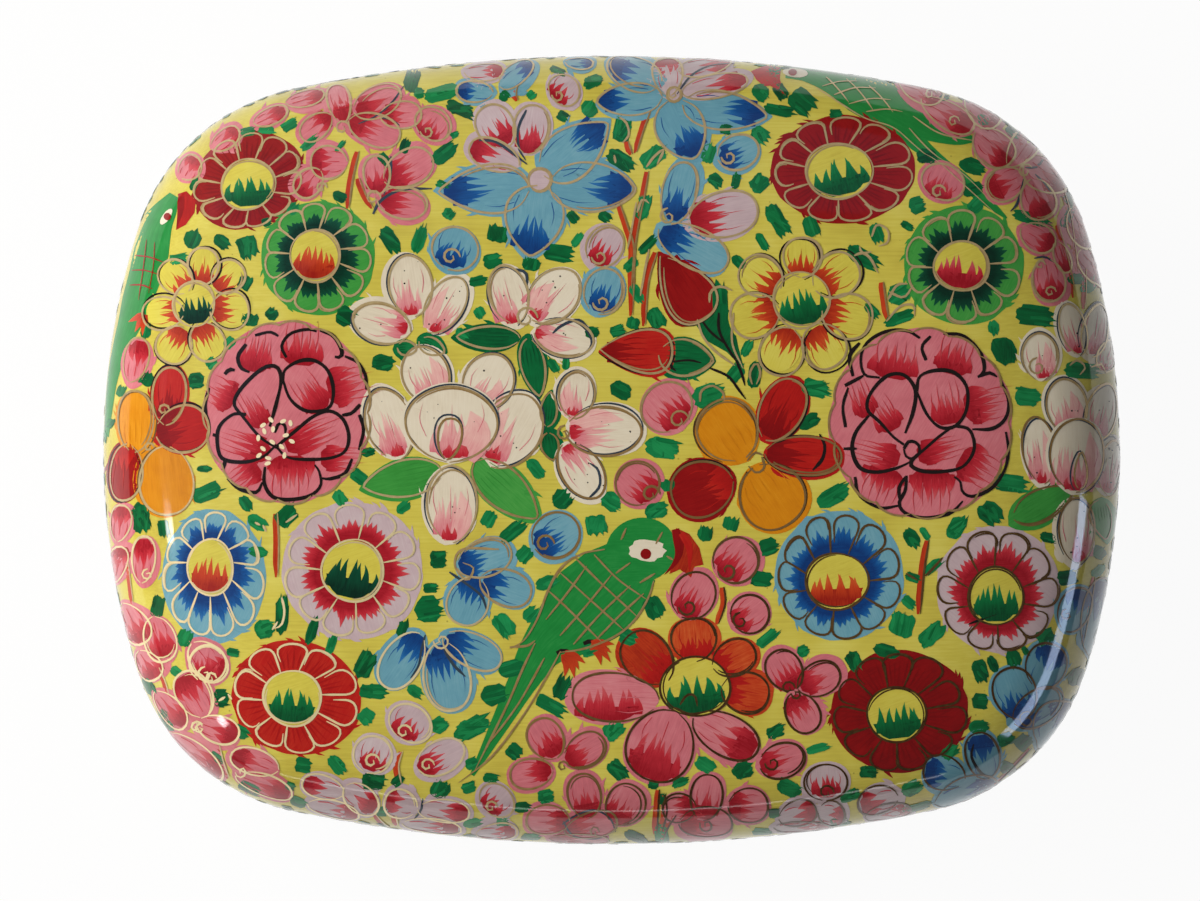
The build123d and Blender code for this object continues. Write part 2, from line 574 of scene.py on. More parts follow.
def buildShells():
    finishes = [yellowGround, blackInside]
    levels, outer = baseLevels()
    base = ringShell("basePainted", levels, "ends", finishes, outer)
    for face in base.data.polygons:
        if face.center.z < 0.3 * form["footRound"] * mm:
            face.material_index = 1
    levels, outer = lidLevels()
    lid = ringShell("lidPainted", levels, "ends", finishes, outer)
    collar = ringShell("collarPainted", collarLevels(), "loop", [blackInside], 10**6)
    for piece, node, body, slot in ((base, "base_shell", "base", "base_lacquer"),
                                    (lid, "lid_shell", "lid", "lid_lacquer"),
                                    (collar, "collar", "base", "collar_lacquer")):
        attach(piece, body)
        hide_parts(node)


buildShells()
print("shells are built")

# painting: strokes laid on a face in the order that the painter laid them

paintBook = {}
ground = {
    "seam": (baseHigh[2] + lidLow[2]) / 2,
    "seamEdge": 0.25,
    "sheetRow": 146.0,    # mm of wall in each row of the flat layout
    "baseRow": 40.0,      # mm between its rows, on the base and on the lid's edge
    "lidRow": 12.0,
    "sheetSize": 162.0,   # mm across the whole layout
}
layers = {"fill": 0.035, "petal": 0.052, "flare": 0.07, "streak": 0.086, "shadow": 0.103, "line": 0.12}
stack = {
    "square": 1.5,       # mm, the squares in which strokes that cross are counted
    "step": 0.0003,      # mm from one stroke of a layer to the next above it
    "most": 48,          # then it starts again from the lowest
    "edgeDrop": 0.008,   # mm, the edge of a filled shape below its middle
    "bead": 0.012,       # mm, the same for a drawn line
    "front": 0.095,      # mm, how far what lies in front is raised
}
bladeStep = 0.7    # mm between the points of a blade or band
stacked = {}       # how many strokes of a layer already cross each small square of a face
taken = {"lid": [], "wall": []}  # round places that are already painted: x, y, radius


def lay(paint, spots, faces, lift, grain, tone):
    # one stroke: points of the face in mm, its facets, height above the ground, brush direction
    faces = facedOut(spots, faces)
    if brush["side"] == "lid":
        place, normal = onLid(spots, lift)
        shares = [("lid", faces, place, spots + (halfLength, halfWidth))]
    else:
        place, normal = onWall(spots, lift)
        middles = np.array([spots[list(face), 1].mean() for face in faces])
        shares = []
        # the wall is laid out in three rows
        row = math.floor(spots[:, 0].mean() / ground["sheetRow"])
        along = spots[:, 0] - row * ground["sheetRow"] + 3
        rowLow = {"base": 2 + (row % 3) * ground["baseRow"],
                  "lid": 2 * halfWidth + 2 + (row % 3) * ground["lidRow"] - lidLow[2]}
        for body, keep, low, high in (
                ("base", middles <= ground["seam"], 0.6, baseHigh[2] - ground["seamEdge"]),
                ("lid", middles > ground["seam"], lidLow[2] + ground["seamEdge"], 99)):
            if keep.any():
                bound = place.copy()
                bound[:, 2] = np.clip(bound[:, 2], low, high)
                shares.append((body, [face for face, kept in zip(faces, keep) if kept], bound,
                               np.stack([along, bound[:, 2] + rowLow[body]], 1)))
    for body, kept, points, sheet in shares:
        book = paintBook.setdefault((body, paint), {"faces": [], "count": 0})
        used = np.unique(np.concatenate([np.array(face) for face in kept]))
        renumber = {old: new + book["count"] for new, old in enumerate(used)}
        for name, rows in (("places", points), ("normals", normal), ("grain", grain),
                           ("sheet", sheet), ("tone", np.broadcast_to(tone, len(spots)))):
            book.setdefault(name, []).append(rows[used])
        book["faces"].extend([renumber[v] for v in face] for face in kept)
        book["count"] += len(used)


def facedOut(spots, faces):
    # where a stroke folds over itself its facets are turned to face outward again
    corners = spots[np.array([face if len(face) == 4 else (*face, face[0]) for face in faces])]
    a, b = corners[:, 2] - corners[:, 0], corners[:, 3] - corners[:, 1]
    inward = a[:, 0] * b[:, 1] - a[:, 1] * b[:, 0] < 0
    return [face[::-1] if turn else face for face, turn in zip(faces, inward)]


def facetSize(spots):
    # how long a facet may be before it would dip into the coat below, in mm
    if brush["side"] == "wall":
        return 1.1
    return 0.75 if rimInset(*np.asarray(spots, float).T)[0].min() < 11 else 2.2


def closeSteps(outline, step):
    # a closed outline without an edge longer than the step
    points = []
    for a, b in zip(outline, np.roll(outline, -1, axis=0)):
        parts = max(1, math.ceil(np.linalg.norm(b - a) / step))
        points.append(a + (b - a) * (np.arange(parts) / parts)[:, None])
    return np.vstack(points)


def strips(count, rows):
    # the facets between rows of points
    return [(r * count + i, (r + 1) * count + i, (r + 1) * count + i + 1, r * count + i + 1)
            for r in range(rows - 1) for i in range(count - 1)]


def layerLift(layer, spots):
    # a later stroke lies a hair above every earlier one of its layer that it crosses
    if brush["side"] == "lid" and brush["inset"] is not None:
        spots = keepShape(spots)
    squares = set(map(tuple, np.floor(spots / stack["square"]).astype(int).tolist()))
    keys = [(brush["side"], layer, brush["raised"], square) for square in squares]
    level = 1 + max(stacked.get(key, 0) for key in keys)
    for key in keys:
        stacked[key] = level
    return layers[layer] + brush["raised"] + (level % stack["most"]) * stack["step"]


def patch(paint, outline, middle, layer, angle, tone=0.5, cell=1.2):
    # a filled shape, star-shaped about its middle; its edge runs down to the ground
    outline, middle = np.asarray(outline, float), np.asarray(middle, float)
    step = facetSize(outline)
    outline = closeSteps(outline, step)
    count = len(outline)
    reach = np.linalg.norm(outline - middle, axis=1)
    rings = max(1, round(reach.max() / min(cell, step)))
    edge = min(0.25, 0.12 / max(reach.mean(), 0.2))
    shares = list(np.linspace(0, 1 - edge, rings + 1)[1:]) + [1.0]
    spots = np.vstack([middle[None]] + [middle + (outline - middle) * s for s in shares])
    lift = np.full(len(spots), layerLift(layer, spots))
    lift[-count:] -= stack["edgeDrop"]
    faces = [(0, 1 + i, 1 + (i + 1) % count) for i in range(count)]
    for ring in range(len(shares) - 1):
        inner, outer = 1 + ring * count, 1 + (ring + 1) * count
        faces += [(inner + i, outer + i, outer + (i + 1) % count, inner + (i + 1) % count)
                  for i in range(count)]
    lay(paint, spots, faces, lift, grainOf(spots - middle, angle), tone)


def grainOf(offsets, angle):
    # brush coordinates: across and along the stroke, in metres, shifted at random
    way = np.array([math.cos(math.radians(angle)), math.sin(math.radians(angle))])
    across = offsets @ np.array([-way[1], way[0]])
    return np.stack([across, offsets @ way], 1) * mm + vary(0, 1, 2)


def smoothPath(points, step):
    # a Catmull-Rom curve through the points, evenly stepped
    points = np.asarray(points, float)
    ends = np.vstack([2 * points[0] - points[1], points, 2 * points[-1] - points[-2]])
    t = np.linspace(0, 1, 12, endpoint=False)[:, None]
    curve = []
    for a, b, c, d in zip(ends[:-3], ends[1:-2], ends[2:-1], ends[3:]):
        curve.append(0.5 * (2 * b + (c - a) * t + (2 * a - 5 * b + 4 * c - d) * t**2
                            + (3 * b - a - 3 * c + d) * t**3))
    curve = np.vstack(curve + [points[-1:]])
    walked = walkedAlong(curve)
    count = max(4, int(walked[-1] / step) + 1)
    stops = np.linspace(0, walked[-1], count)
    return np.stack([np.interp(stops, walked, column) for column in curve.T], 1)


def leftOf(path):
    # the way to the left of a path at each of its points
    way = np.gradient(path, axis=0)
    way /= np.linalg.norm(way, axis=1, keepdims=True) + 1e-9
    return np.stack([-way[:, 1], way[:, 0]], 1)


def pull(paint, path, half, rows, width, length, layer, tone, drop=0.0):
    # one pull of the brush along a path: rows of points from its left edge, 1, to its right, -1
    count = len(path)
    spots = np.vstack([path + half * row for row in rows])
    lift = np.full(len(spots), layerLift(layer, spots))
    lift[:count] -= drop
    lift[-count:] -= drop
    walked = np.tile(np.linspace(0, length, count), len(rows))
    grain = np.stack([np.repeat(rows, count) * width / 2, walked], 1) * mm + vary(0, 1, 2)
    lay(paint, spots, strips(count, len(rows)), lift, grain, tone)


def ribbon(paint, points, width, layer="line", taper=(0.5, 0.35), step=0.6, tone=0.5,
           wobble=0.2):
    # a drawn line with a brush's swelling and thinning, slightly raised along its middle
    path = smoothPath(points, step)
    count = len(path)
    share = np.linspace(0, 1, count)
    swell = np.interp(share, [0, 0.12, 0.8, 1], [taper[0], 1, 1, taper[1]])
    knots = vary(1 - wobble, 1 + wobble, max(3, count // 4))
    swell = swell * np.interp(share, np.linspace(0, 1, len(knots)), knots)
    half = evenWidth(path, (leftOf(path).T * swell * width / 2).T)
    pull(paint, path, half, [1, 0, -1], width, count * step, layer, tone, stack["bead"])


def halfWidthAt(shape, along):
    _, _, _, width, _, base, tip = shape
    widest = base / (base + tip)
    peak = widest**base * (1 - widest) ** tip
    along = np.clip(along, 0, 1)
    return width / 2 * along**base * (1 - along) ** tip / peak


def petalOutline(shape, count, grow=0.0, rough=0.0):
    # x, y, length, width, angle of base to tip, and how pointed the base and the tip are
    x, y, length, width, angle, base, tip = shape
    turns = roundTurns(count)
    share = (1 - np.cos(turns)) / 2
    grown = (x, y, length, width + 2 * grow, angle, base, tip)
    long = (share - 0.5) * (length + 2 * grow)
    wide = -np.sign(np.sin(turns)) * halfWidthAt(grown, share)
    if rough:
        wave = 1 + rough * np.interp(turns, np.linspace(0, 2 * math.pi, 9), np.append(vary(-1, 1, 8), 0))
        long, wide = long * wave, wide * wave
    return turned((x, y), long, wide, angle)


def toFace(shape, along, across):
    # a petal's own coordinates, 0 base to 1 tip and mm across, as points of the face
    return turned(shape[:2], (np.asarray(along) - 0.5) * shape[2], np.asarray(across), shape[4])


def blade(paint, points, width, layer="flare", tone=(0.15, 0.75), full=0.25):
    # one pointed stroke: pressed down at its root and lifted to a hair at its tip
    path = smoothPath(points, bladeStep)
    share = np.linspace(0, 1, len(path))
    past = np.clip((share - full) / (1 - full), 0, 1)
    swell = np.where(share < full, 0.75 + share, 1 - past**1.25)
    half = (leftOf(path).T * np.clip(swell, 0.03, 1) * width / 2).T
    rows = np.linspace(1, -1, math.ceil(width / facetSize(path)) + 1)
    tones = np.tile(tone[0] + (tone[1] - tone[0]) * share, len(rows))
    pull(paint, path, half, rows, width, len(path) * bladeStep, layer, tones)


def flare(paint, shape, end, depth, reach, count, fill, tone, shift=0.0, layer="flare"):
    # flames inside a petal: a blot along one end that runs out in pointed strokes
    toward = (lambda v: v) if end == "base" else (lambda v: 1 - v)
    width = shape[3]
    v = np.linspace(0.04, depth, 6)
    rim = halfWidthAt(shape, toward(v)) * fill
    curve = np.concatenate([np.stack([v, rim], 1), np.stack([v[::-1], -rim[::-1]], 1)])
    curve[:, 1] += shift * width * curve[:, 0] / depth
    outline = toFace(shape, toward(curve[:, 0]), curve[:, 1])
    area = np.sum(outline[:, 0] * np.roll(outline[:, 1], -1)
                  - np.roll(outline[:, 0], -1) * outline[:, 1])
    if area < 0:
        outline = outline[::-1]
    middle = toFace(shape, toward(depth * 0.55), shift * width * 0.5)
    patch(paint, outline, middle, layer, shape[4], tone[0], cell=1.5)
    wide = halfWidthAt(shape, toward(depth)) * fill
    for place in np.linspace(-1, 1, count):
        spot = (place * (1 - 0.9 / count) + vary(-0.1, 0.1)) * wide + shift * width
        run = reach * (1 - 0.38 * place**2) * vary(0.72, 1.08)
        last = min(depth + run, 0.97)
        lean = spot * (0.9 if end == "base" else 0.72) + vary(-0.05, 0.05) * width
        mid = (depth + last) / 2
        points = toFace(shape, toward(np.array([depth * 0.45, mid, last])),
                        [spot, (spot + lean) / 2 + vary(-0.03, 0.03) * width, lean])
        blade(paint, points, 2.5 * wide / count, layer, tone)


def hairs(paint, shape, start, stop, count, tone, width=0.13):
    # fine dry strokes along a petal
    for place in np.linspace(-0.7, 0.7, count):
        a = start + vary(0, 0.08)
        b = stop * vary(0.75, 1.0)
        wide = halfWidthAt(shape, (a + b) / 2)
        points = toFace(shape, [a, (a + b) / 2, b], np.array([place * 0.8, place, place * 0.9]) * wide)
        blade(paint, points, width, "streak", (tone, tone), full=0.4)


def loop(paint, shape, width, start=0.0, stop=1.0, layer="line", grow=0.0, tone=0.5):
    # an outline drawn round a petal from its base, a little off the paint it follows
    x, y, length, wide, angle, base, tip = shape
    moved = (x + vary(-0.25, 0.25), y + vary(-0.25, 0.25),
             length + 2 * grow, wide + 2 * grow, angle + vary(-3, 3), base, tip)
    outline = petalOutline(moved, 40)
    outline = np.vstack([outline, outline[:1]])
    at = (start + (stop - start) * np.linspace(0, 1, 26)) * 40
    points = np.stack([np.interp(at, np.arange(41), column) for column in outline.T], 1)
    ribbon(paint, points[::2], width, layer, tone=tone)


def swirl(x, y, radius, turns, angle, width, tone):
    share = np.linspace(0, 1, 14)
    reach = radius * (1 - 0.72 * share)
    points = ellipse(x, y, reach, reach, 0, math.radians(angle) + share * turns * 2 * math.pi)
    ribbon("goldLine", points, width, tone=tone)


# paints: each is mineral or plant colour in glue size, brushed on wet and varnished

paintShades = {
    # shades from deep to light, how much the stroke's own tone shifts them
    "paleBlue": (["5690A8", "6CA4B8", "88B8C6"], 0.25),
    "deepBlue": (["0E3878", "14559A", "3480BC"], 0.75),
    "pinkPaint": (["BA5E6A", "D67883", "E29A9E"], 0.25),
    "crimson": (["9C1020", "C52C3A", "D8686E"], 0.7),
    "rosePaint": (["C4485C", "DC808A", "EEC0B8"], 0.75),
    "palePink": (["B49CA6", "C8B2B8", "D8CCCE"], 0.25),
    "cream": (["D2C4AA", "E6DCC6", "EFE8D6"], 0.25),
    "orange": (["C46E04", "DA8A0C", "E8A224"], 0.25),
    "darkRed": (["6C0608", "900B0C", "A81A16"], 0.3),
    "scarlet": (["920C0C", "B81A14", "C83824"], 0.3),
    "orangeRed": (["981A0C", "C6401A", "DE7438"], 0.55),
    "leafGreen": (["034424", "066E3A", "1E9454"], 0.55),
    "darkGreen": (["04261A", "07442E", "0C6244"], 0.6),
    "lightGreen": (["2A822E", "3E9A40", "58AA50"], 0.3),
    "parrotGreen": (["12742E", "1E8A3C", "3CA050"], 0.25),
    "sunYellow": (["C2AE3C", "D8CC52", "E4DC6E"], 0.25),
    "creamDots": (["E9CF9A", "F4E2B8", "FBF1D6"], 0.3),
    "goldLine": (["452C14", "A48350", "F7E5B2"], 0.85),
    "inkLine": (["140E0D", "1E1614", "2A201C"], 0.2),
    "slateLine": (["232D3A", "35424F", "4A5866"], 0.2),
}
paints = {}
for paintName, (shades, toneShare) in paintShades.items():
    if paintName == "goldLine":
        # bronze powder in varnish: warm, half metallic, catches the light along each line; its shades run
        # from dark brown to pale cream with each stroke's tone, which on the top is painted light and shade
        paints[paintName] = lacquered("bronzePowderVarnished", shades, streak=(0.3, 1.2),
                                      streakShare=0.12, mottle=0.8, mottleShare=0.12,
                                      toneShare=toneShare, metallic=0.35, roughness=0.42)
    else:
        # flat body colour that shows the hairs of a squirrel brush, glossy under the varnish
        paints[paintName] = lacquered(paintName + "Varnished", shades, streak=(0.22, 3.5),
                                      streakShare=0.45, mottle=2.2, mottleShare=0.3,
                                      toneShare=toneShare, relief=0.008)

# what the painter knows how to draw

petalLine = 0.34  # mm, the bronze line round each petal
petalDefaults = {"base": 0.55, "tip": 0.45, "end": "tip", "grow": 0.5, "under": None, "hairs": 3,
                 "flameFill": 0.84, "flameTone": (0.1, 0.8), "shift": 0.0}
petalLooks = {
    "blue": {"fill": "paleBlue", "flame": "deepBlue", "depth": 0.3, "reach": 0.3, "hairs": 2},
    "pink": {"fill": "pinkPaint", "flame": "crimson", "depth": 0.34, "reach": 0.34},
    "pale": {"fill": "palePink", "flame": "crimson", "depth": 0.3, "reach": 0.36, "hairs": 2},
    "cream": {"fill": "cream", "flame": "rosePaint", "end": "base", "depth": 0.26, "reach": 0.42,
              "base": 0.6, "tip": 0.55, "under": "slateLine", "flameFill": 0.72,
              "flameTone": (0.45, 0.95)},
    "orange": {"fill": "orange", "flame": None, "under": "goldLine", "hairs": 5},
    "red": {"fill": "scarlet", "flame": "darkRed", "end": "base", "depth": 0.25, "reach": 0.35,
            "under": "inkLine"},
    "darkRed": {"fill": "darkRed", "flame": "scarlet", "end": "base", "depth": 0.2, "reach": 0.3,
                "under": "inkLine"},
    "orangeRed": {"fill": "orangeRed", "flame": "scarlet", "end": "base", "depth": 0.3, "reach": 0.3},
    "sun": {"fill": "sunYellow", "flame": "orangeRed", "end": "base", "depth": 0.26, "reach": 0.36,
            "under": "inkLine", "grow": -0.1},
    "leaf": {"fill": "lightGreen", "flame": None, "base": 0.6, "tip": 0.8, "hairs": 6},
    "darkLeaf": {"fill": "leafGreen", "flame": None, "base": 0.6, "tip": 0.8, "hairs": 5},
}
for petalLook, hairCount in (("blue", 2), ("pink", 3), ("pale", 3)):
    petalLooks[petalLook + "Heart"] = {**petalLooks[petalLook], "end": "base", "hairs": hairCount}


def paintedLightAndToneAt(x, y):
    # the bronze lines' tone, which moves them from dark brown to pale cream: on the top it is painted light
    # and shade, palest at the lower left, darkest at the lower right and a little paler above the middle;
    # on the wall it is a slow change along the wall
    if brush["side"] == "wall":
        return 0.5 + 0.2 * math.sin(x / 23)
    low = min(max((6 - y) / 30, 0), 1)
    left = min(max(-(x + 12) / 18, -1), 1)
    high = 0.64 if y > 18 else 0.52 + 0.12 * max(y, 0) / 18
    return high + low * (0.4 * left if left > 0 else 0.36 * left)


def occupy(x, y, length, width, angle):
    # a row of discs along a long shape
    spare = max(length - width, 0) / 2
    for share in ((-1, 0, 1) if spare > 0.3 else (0,)):
        taken[brush["side"]].append((*turned((x, y), share * spare, 0, angle), width / 2))


def keepNear(x, y):
    # what is painted next keeps its shape round this place
    brush["inset"] = float(rimInset(x, y)[0]) if brush["side"] == "lid" else None


def petal(look, x, y, length, width, angle, **changes):
    keepNear(x, y)
    how = {**petalDefaults, **petalLooks[look], **changes}
    shape = (x, y, length, width, angle, how["base"], how["tip"])
    slip = 0.4 if width > 3 else 0.2
    fillShape = (x + vary(-slip, slip), y + vary(-slip, slip), *shape[2:])
    occupy(x, y, length, width, angle)
    patch(how["fill"], petalOutline(fillShape, 30, how["grow"], 0.05), fillShape[:2],
          "petal", angle, tone=vary(0.2, 0.8))
    for _ in range(hand.integers(1, 4)):
        # here and there the brush runs over the edge
        at, way = vary(0.2, 0.85), hand.choice([-1, 1])
        edge = way * (halfWidthAt(shape, at) + how["grow"])
        over = toFace(fillShape, [at - 0.12, at - 0.03, at + 0.08],
                      [edge * 0.6, edge, edge + way * vary(0.2, 0.8)])
        blade(how["fill"], over, vary(0.5, 1.1), "petal", (0.4, 0.6))
    if how["flame"]:
        blades = int(min(max(round(width / 1.15), 3), 7))
        flare(how["flame"], shape, how["end"], how["depth"], how["reach"], blades,
              how["flameFill"], how["flameTone"], how["shift"])
    if how["hairs"]:
        start, stop = (0.3, 0.85) if how["end"] == "base" else (0.12, 0.6)
        hairs(how["flame"] or how["fill"], shape, start, stop, how["hairs"],
              0.5 if how["flame"] else 0.05)
    # the bronze lines of this petal take the painted light and shade of their place on the top
    tone = paintedLightAndToneAt(x, y)
    if how["under"]:
        loop(how["under"], shape, petalLine * 0.8, 0.04, 0.9, "shadow", 0.12, tone * 0.4)
    loop("goldLine", shape, petalLine, stop=vary(0.93, 1.03), tone=tone)
    if width > 4 and vary() < 0.55:
        # a second line inside the first
        start = vary(0, 0.5)
        loop("goldLine", shape, petalLine * 0.7, start, start + vary(0.3, 0.5), grow=-0.3,
             tone=tone * 0.9)
    brush["inset"] = None


def creamPetal(x, y, length, width, angle, shift=0.0):
    # white petal with a rose blush from its base, a crimson spot and a few worn specks
    lean = shift or vary(-0.2, 0.2)
    petal("cream", x, y, length, width, angle, shift=lean)
    shape = (x, y, length, width, angle, 0.6, 0.55)
    keepNear(x, y)
    if vary() < 0.6:
        lane = hand.choice([-1, 1]) * width * np.array([0.12, 0.26, 0.2])
        blade("rosePaint", toFace(shape, [0.05, 0.4, vary(0.65, 0.85)], lane),
              width * 0.36, "flare", (0.7, 0.95), full=0.5)
    flare("crimson", shape, "base", 0.13, 0.14, 3, 0.45, (0.35, 0.8), lean * 0.5, "streak")
    for _ in range(hand.integers(0, 9)):
        spot = toFace(shape, vary(0.1, 0.9), vary(-0.3, 0.3) * width)
        radius = vary(0.05, 0.16)
        oval("inkLine", *spot, radius, radius, layer="streak", corners=6)
    brush["inset"] = None


def ring(x, y, rx, ry, tone, width=0.45, tilt=0, rounds=1.04):
    turns = np.linspace(0, rounds * 2 * math.pi, 26) + vary(0, 6)
    wave = 1 + 0.02 * np.sin(turns * 3 + vary(0, 6))
    points = ellipse(0, 0, rx, ry, tilt, turns) * wave[:, None] + (x, y)
    ribbon("goldLine", points, width, tone=tone)


def oval(paint, x, y, rx, ry, tilt=0, layer="line", corners=14, tone=0.5, angle=0):
    outline = ellipse(x, y, rx, ry, tilt, roundTurns(corners))
    patch(paint, outline, (x, y), layer, angle, tone)


def daisy(x, y, rx, ry, tilt, disc, petals, middle, flame, heart=None, start=0.0):
    # a painted disc, petals drawn on it as loops, and a yellow middle with grassy flames
    cx, cy, crx, cry = middle
    # the bronze loops and rings take the painted light and shade of the flower's place on the top
    tone = paintedLightAndToneAt(x, y)
    taken[brush["side"]].append((x, y, max(rx, ry)))
    turns = roundTurns(84)
    rough = 1 + np.interp(turns, np.linspace(0, 2 * math.pi, 30), np.append(vary(-0.02, 0.02, 29), 0))
    outline = ellipse(0, 0, rx, ry, tilt, turns) * rough[:, None] + (x, y)
    patch(disc, outline, (x, y), "fill", vary(0, 180), tone=vary(0.3, 0.7))

    def rim(turn, grow):
        return ellipse(x, y, rx + grow, ry + grow, tilt, turn)

    def between(turn, share, drift=0.0):
        # from the edge of the middle, 0, to the edge of the disc, 1
        share = np.asarray(share)[..., None]
        return ellipse(cx, cy, crx, cry, tilt, turn) * (1 - share) + rim(turn + drift, 0) * share

    for at in vary(0, 2 * math.pi, 14):
        blade(disc, [rim(at, -1.2), rim(at + 0.1, -0.1), rim(at + 0.2, vary(0.3, 0.8))],
              vary(0.6, 1.2), "fill", (0.3, 0.6))
    sector = 2 * math.pi / petals
    if heart:
        patch(heart, between(turns, 0.3), (cx, cy), "petal", 0, tone=0.12)
    for k in range(petals):
        turn = start + k * sector
        if heart:
            for place in np.linspace(-0.4, 0.4, 5):
                at = turn + sector * (0.5 + place + vary(-0.04, 0.04))
                run = 0.62 - 0.4 * abs(place) + vary(-0.1, 0.1)
                points = between(at, [0.2, 0.2 + (run - 0.2) * 0.5, run], 0.03)
                blade(heart, points, 1.15, "flare", (0.1, 0.85))
        else:
            for place in np.linspace(-0.3, 0.3, 4):
                at = turn + sector * (0.5 + place + vary(-0.05, 0.05))
                blade(disc, between(at, [0.1, 0.4, vary(0.6, 0.85)]), 0.3, "flare", (0.0, 0.15))
    for k in range(petals):
        # up one side from the middle, round the top and a little way back down
        turn = start + (k + vary(-0.04, 0.04)) * sector
        top = vary(0.86, 0.96)
        hook = vary(0.2, 0.6)
        over = np.linspace(0.08, math.pi - 0.08, 9)
        arch = 0.6 + (top - 0.6) * np.sin(over) ** 0.75
        share = np.concatenate([[0.04, 0.3, 0.56], arch, [0.56, 0.56 - hook * 0.5]])
        part = np.concatenate([[0.05, 0.02, 0.0], 0.5 - 0.5 * np.cos(over), [1.0, 0.98]])
        first, last = vary(-0.02, 0.09), vary(0.9, 1.01)
        points = between(turn + sector * (first + (last - first) * part), share)
        ribbon("goldLine", points, 0.33, tone=tone)
        if vary() < 0.35:
            ribbon("goldLine", points[2:9] + vary(-0.3, 0.3, 2), 0.231, tone=tone * 0.9)
    core(cx, cy, crx, cry, flame, tilt)


def leafDab(x, y, length, width, angle):
    # one short pressed dab of a flat brush: straight sides, a blunt start, a dry and ragged end
    occupy(x, y, length, width, angle)
    keepNear(x, y)
    shade = vary(0.15, 0.85)
    teeth = 8
    across = np.linspace(1, -1, teeth)
    rounded = 1 - vary(0.15, 0.6) * across**2 * abs(across)
    for again in range(2 if vary() < 0.35 and width > 1.6 else 1):
        lean = angle + again * hand.choice([-26, 24])
        size = 0.8 if again else 1.0
        shape = (x, y, length * size, width * size, lean, 0.3, 0.36)
        dry = vary(0.78, 1.18, teeth)
        dry[1::2] *= vary(0.7, 0.92)
        start = 0.5 - 0.5 * rounded * vary(0.84, 1.06, teeth)
        stop = 0.5 + 0.5 * rounded * dry
        bulge = vary(0.9, 1.12, 4)
        along = np.concatenate([start, [0.3, 0.7], stop[::-1], [0.66, 0.34]])
        wide = np.concatenate([across, -bulge[:2], -across, bulge[2:]]) * 0.5 * shape[3]
        patch("leafGreen", toFace(shape, along, wide), (x, y), "petal", lean,
              tone=shade + again * hand.choice([-0.15, 0.2]), cell=2.0)
        for _ in range(max(2, round(width * size))):
            off = vary(-0.4, 0.4) * shape[3]
            first, last = vary(0.0, 0.5), vary(0.85, 1.12)
            points = toFace(shape, [first, (first + last) / 2, last],
                            [off, off + vary(-0.06, 0.06) * width, off * 1.05])
            tone = shade + hand.choice([-0.25, 0.26])
            blade("leafGreen", points, vary(0.3, 0.6), "flare", (tone, tone + 0.1), full=0.5)
    brush["inset"] = None


def bud(look, x, y, width, height, sx=None, sy=None, swirlTurn=200):
    # a round bud: its flame grows out of the curl at its foot
    if sx is None:
        sx, sy = x - width * 0.2, y - height * 0.26
    angle = math.degrees(math.atan2(y - sy, x - sx))
    upright = abs(math.sin(math.radians(angle))) > 0.7
    long, wide = (height, width) if upright else (width, height)
    petal(look, x, y, long, wide, angle, base=0.5, tip=0.5, end="base", depth=0.3, reach=0.4,
          flameFill=0.7)
    keepNear(x, y)
    swirl(sx, sy, min(width, height) * 0.22, 1.1, swirlTurn, 0.36, paintedLightAndToneAt(x, y))
    brush["inset"] = None


def stem(points):
    ribbon("orangeRed", points, 0.95, "petal", taper=(0.6, 0.3), tone=vary(0.2, 0.6))
    offset = np.array(points) + (0.35, 0.1)
    ribbon("goldLine", offset, 0.28, tone=paintedLightAndToneAt(*offset[0]) * 0.8)


def band(paint, points, widths, layer):
    # a long filled shape along a middle line
    path = smoothPath(points, bladeStep)
    rows = np.linspace(1, -1, math.ceil(max(widths) / facetSize(path)) + 1)
    knots = walkedAlong(points)
    half = np.interp(np.linspace(0, knots[-1], len(path)), knots, widths) / 2
    pull(paint, path, leftOf(path) * half[:, None], rows, 2 * half.mean(),
         (len(path) - 1) * bladeStep, layer, 0.5, stack["edgeDrop"])


def core(x, y, rx, ry, flame, tilt=0.0):
    # a yellow middle with flames that grow up from its lower edge
    # the bronze rings take the painted light and shade of this place on the top
    tone = paintedLightAndToneAt(x, y)
    oval("sunYellow", x, y, rx, ry, tilt, "streak", 40, 0.4, 20)
    way = 90 + tilt * 0.5 + vary(-14, 14)
    flare(flame, (x, y, 1.94 * ry, 1.94 * rx, way, 0.5, 0.5), "base", 0.36, 0.36, 7, 0.9,
          (0.05, 0.9), layer="shadow")
    ring(x, y, rx * 1.03, ry * 1.03, tone, 0.34, tilt, 1.08)
    ring(x, y, rx * 0.96, ry * 0.94, tone * 0.9, 0.24, tilt, 0.6)


def blush(x, y, length, width, angle, blades=6):
    # a blot that is drawn out in streaks towards one side
    flare("crimson", (x, y, length, width, angle, 0.42, 0.42), "base", 0.38, 0.5, blades, 0.95,
          (0.1, 0.9))


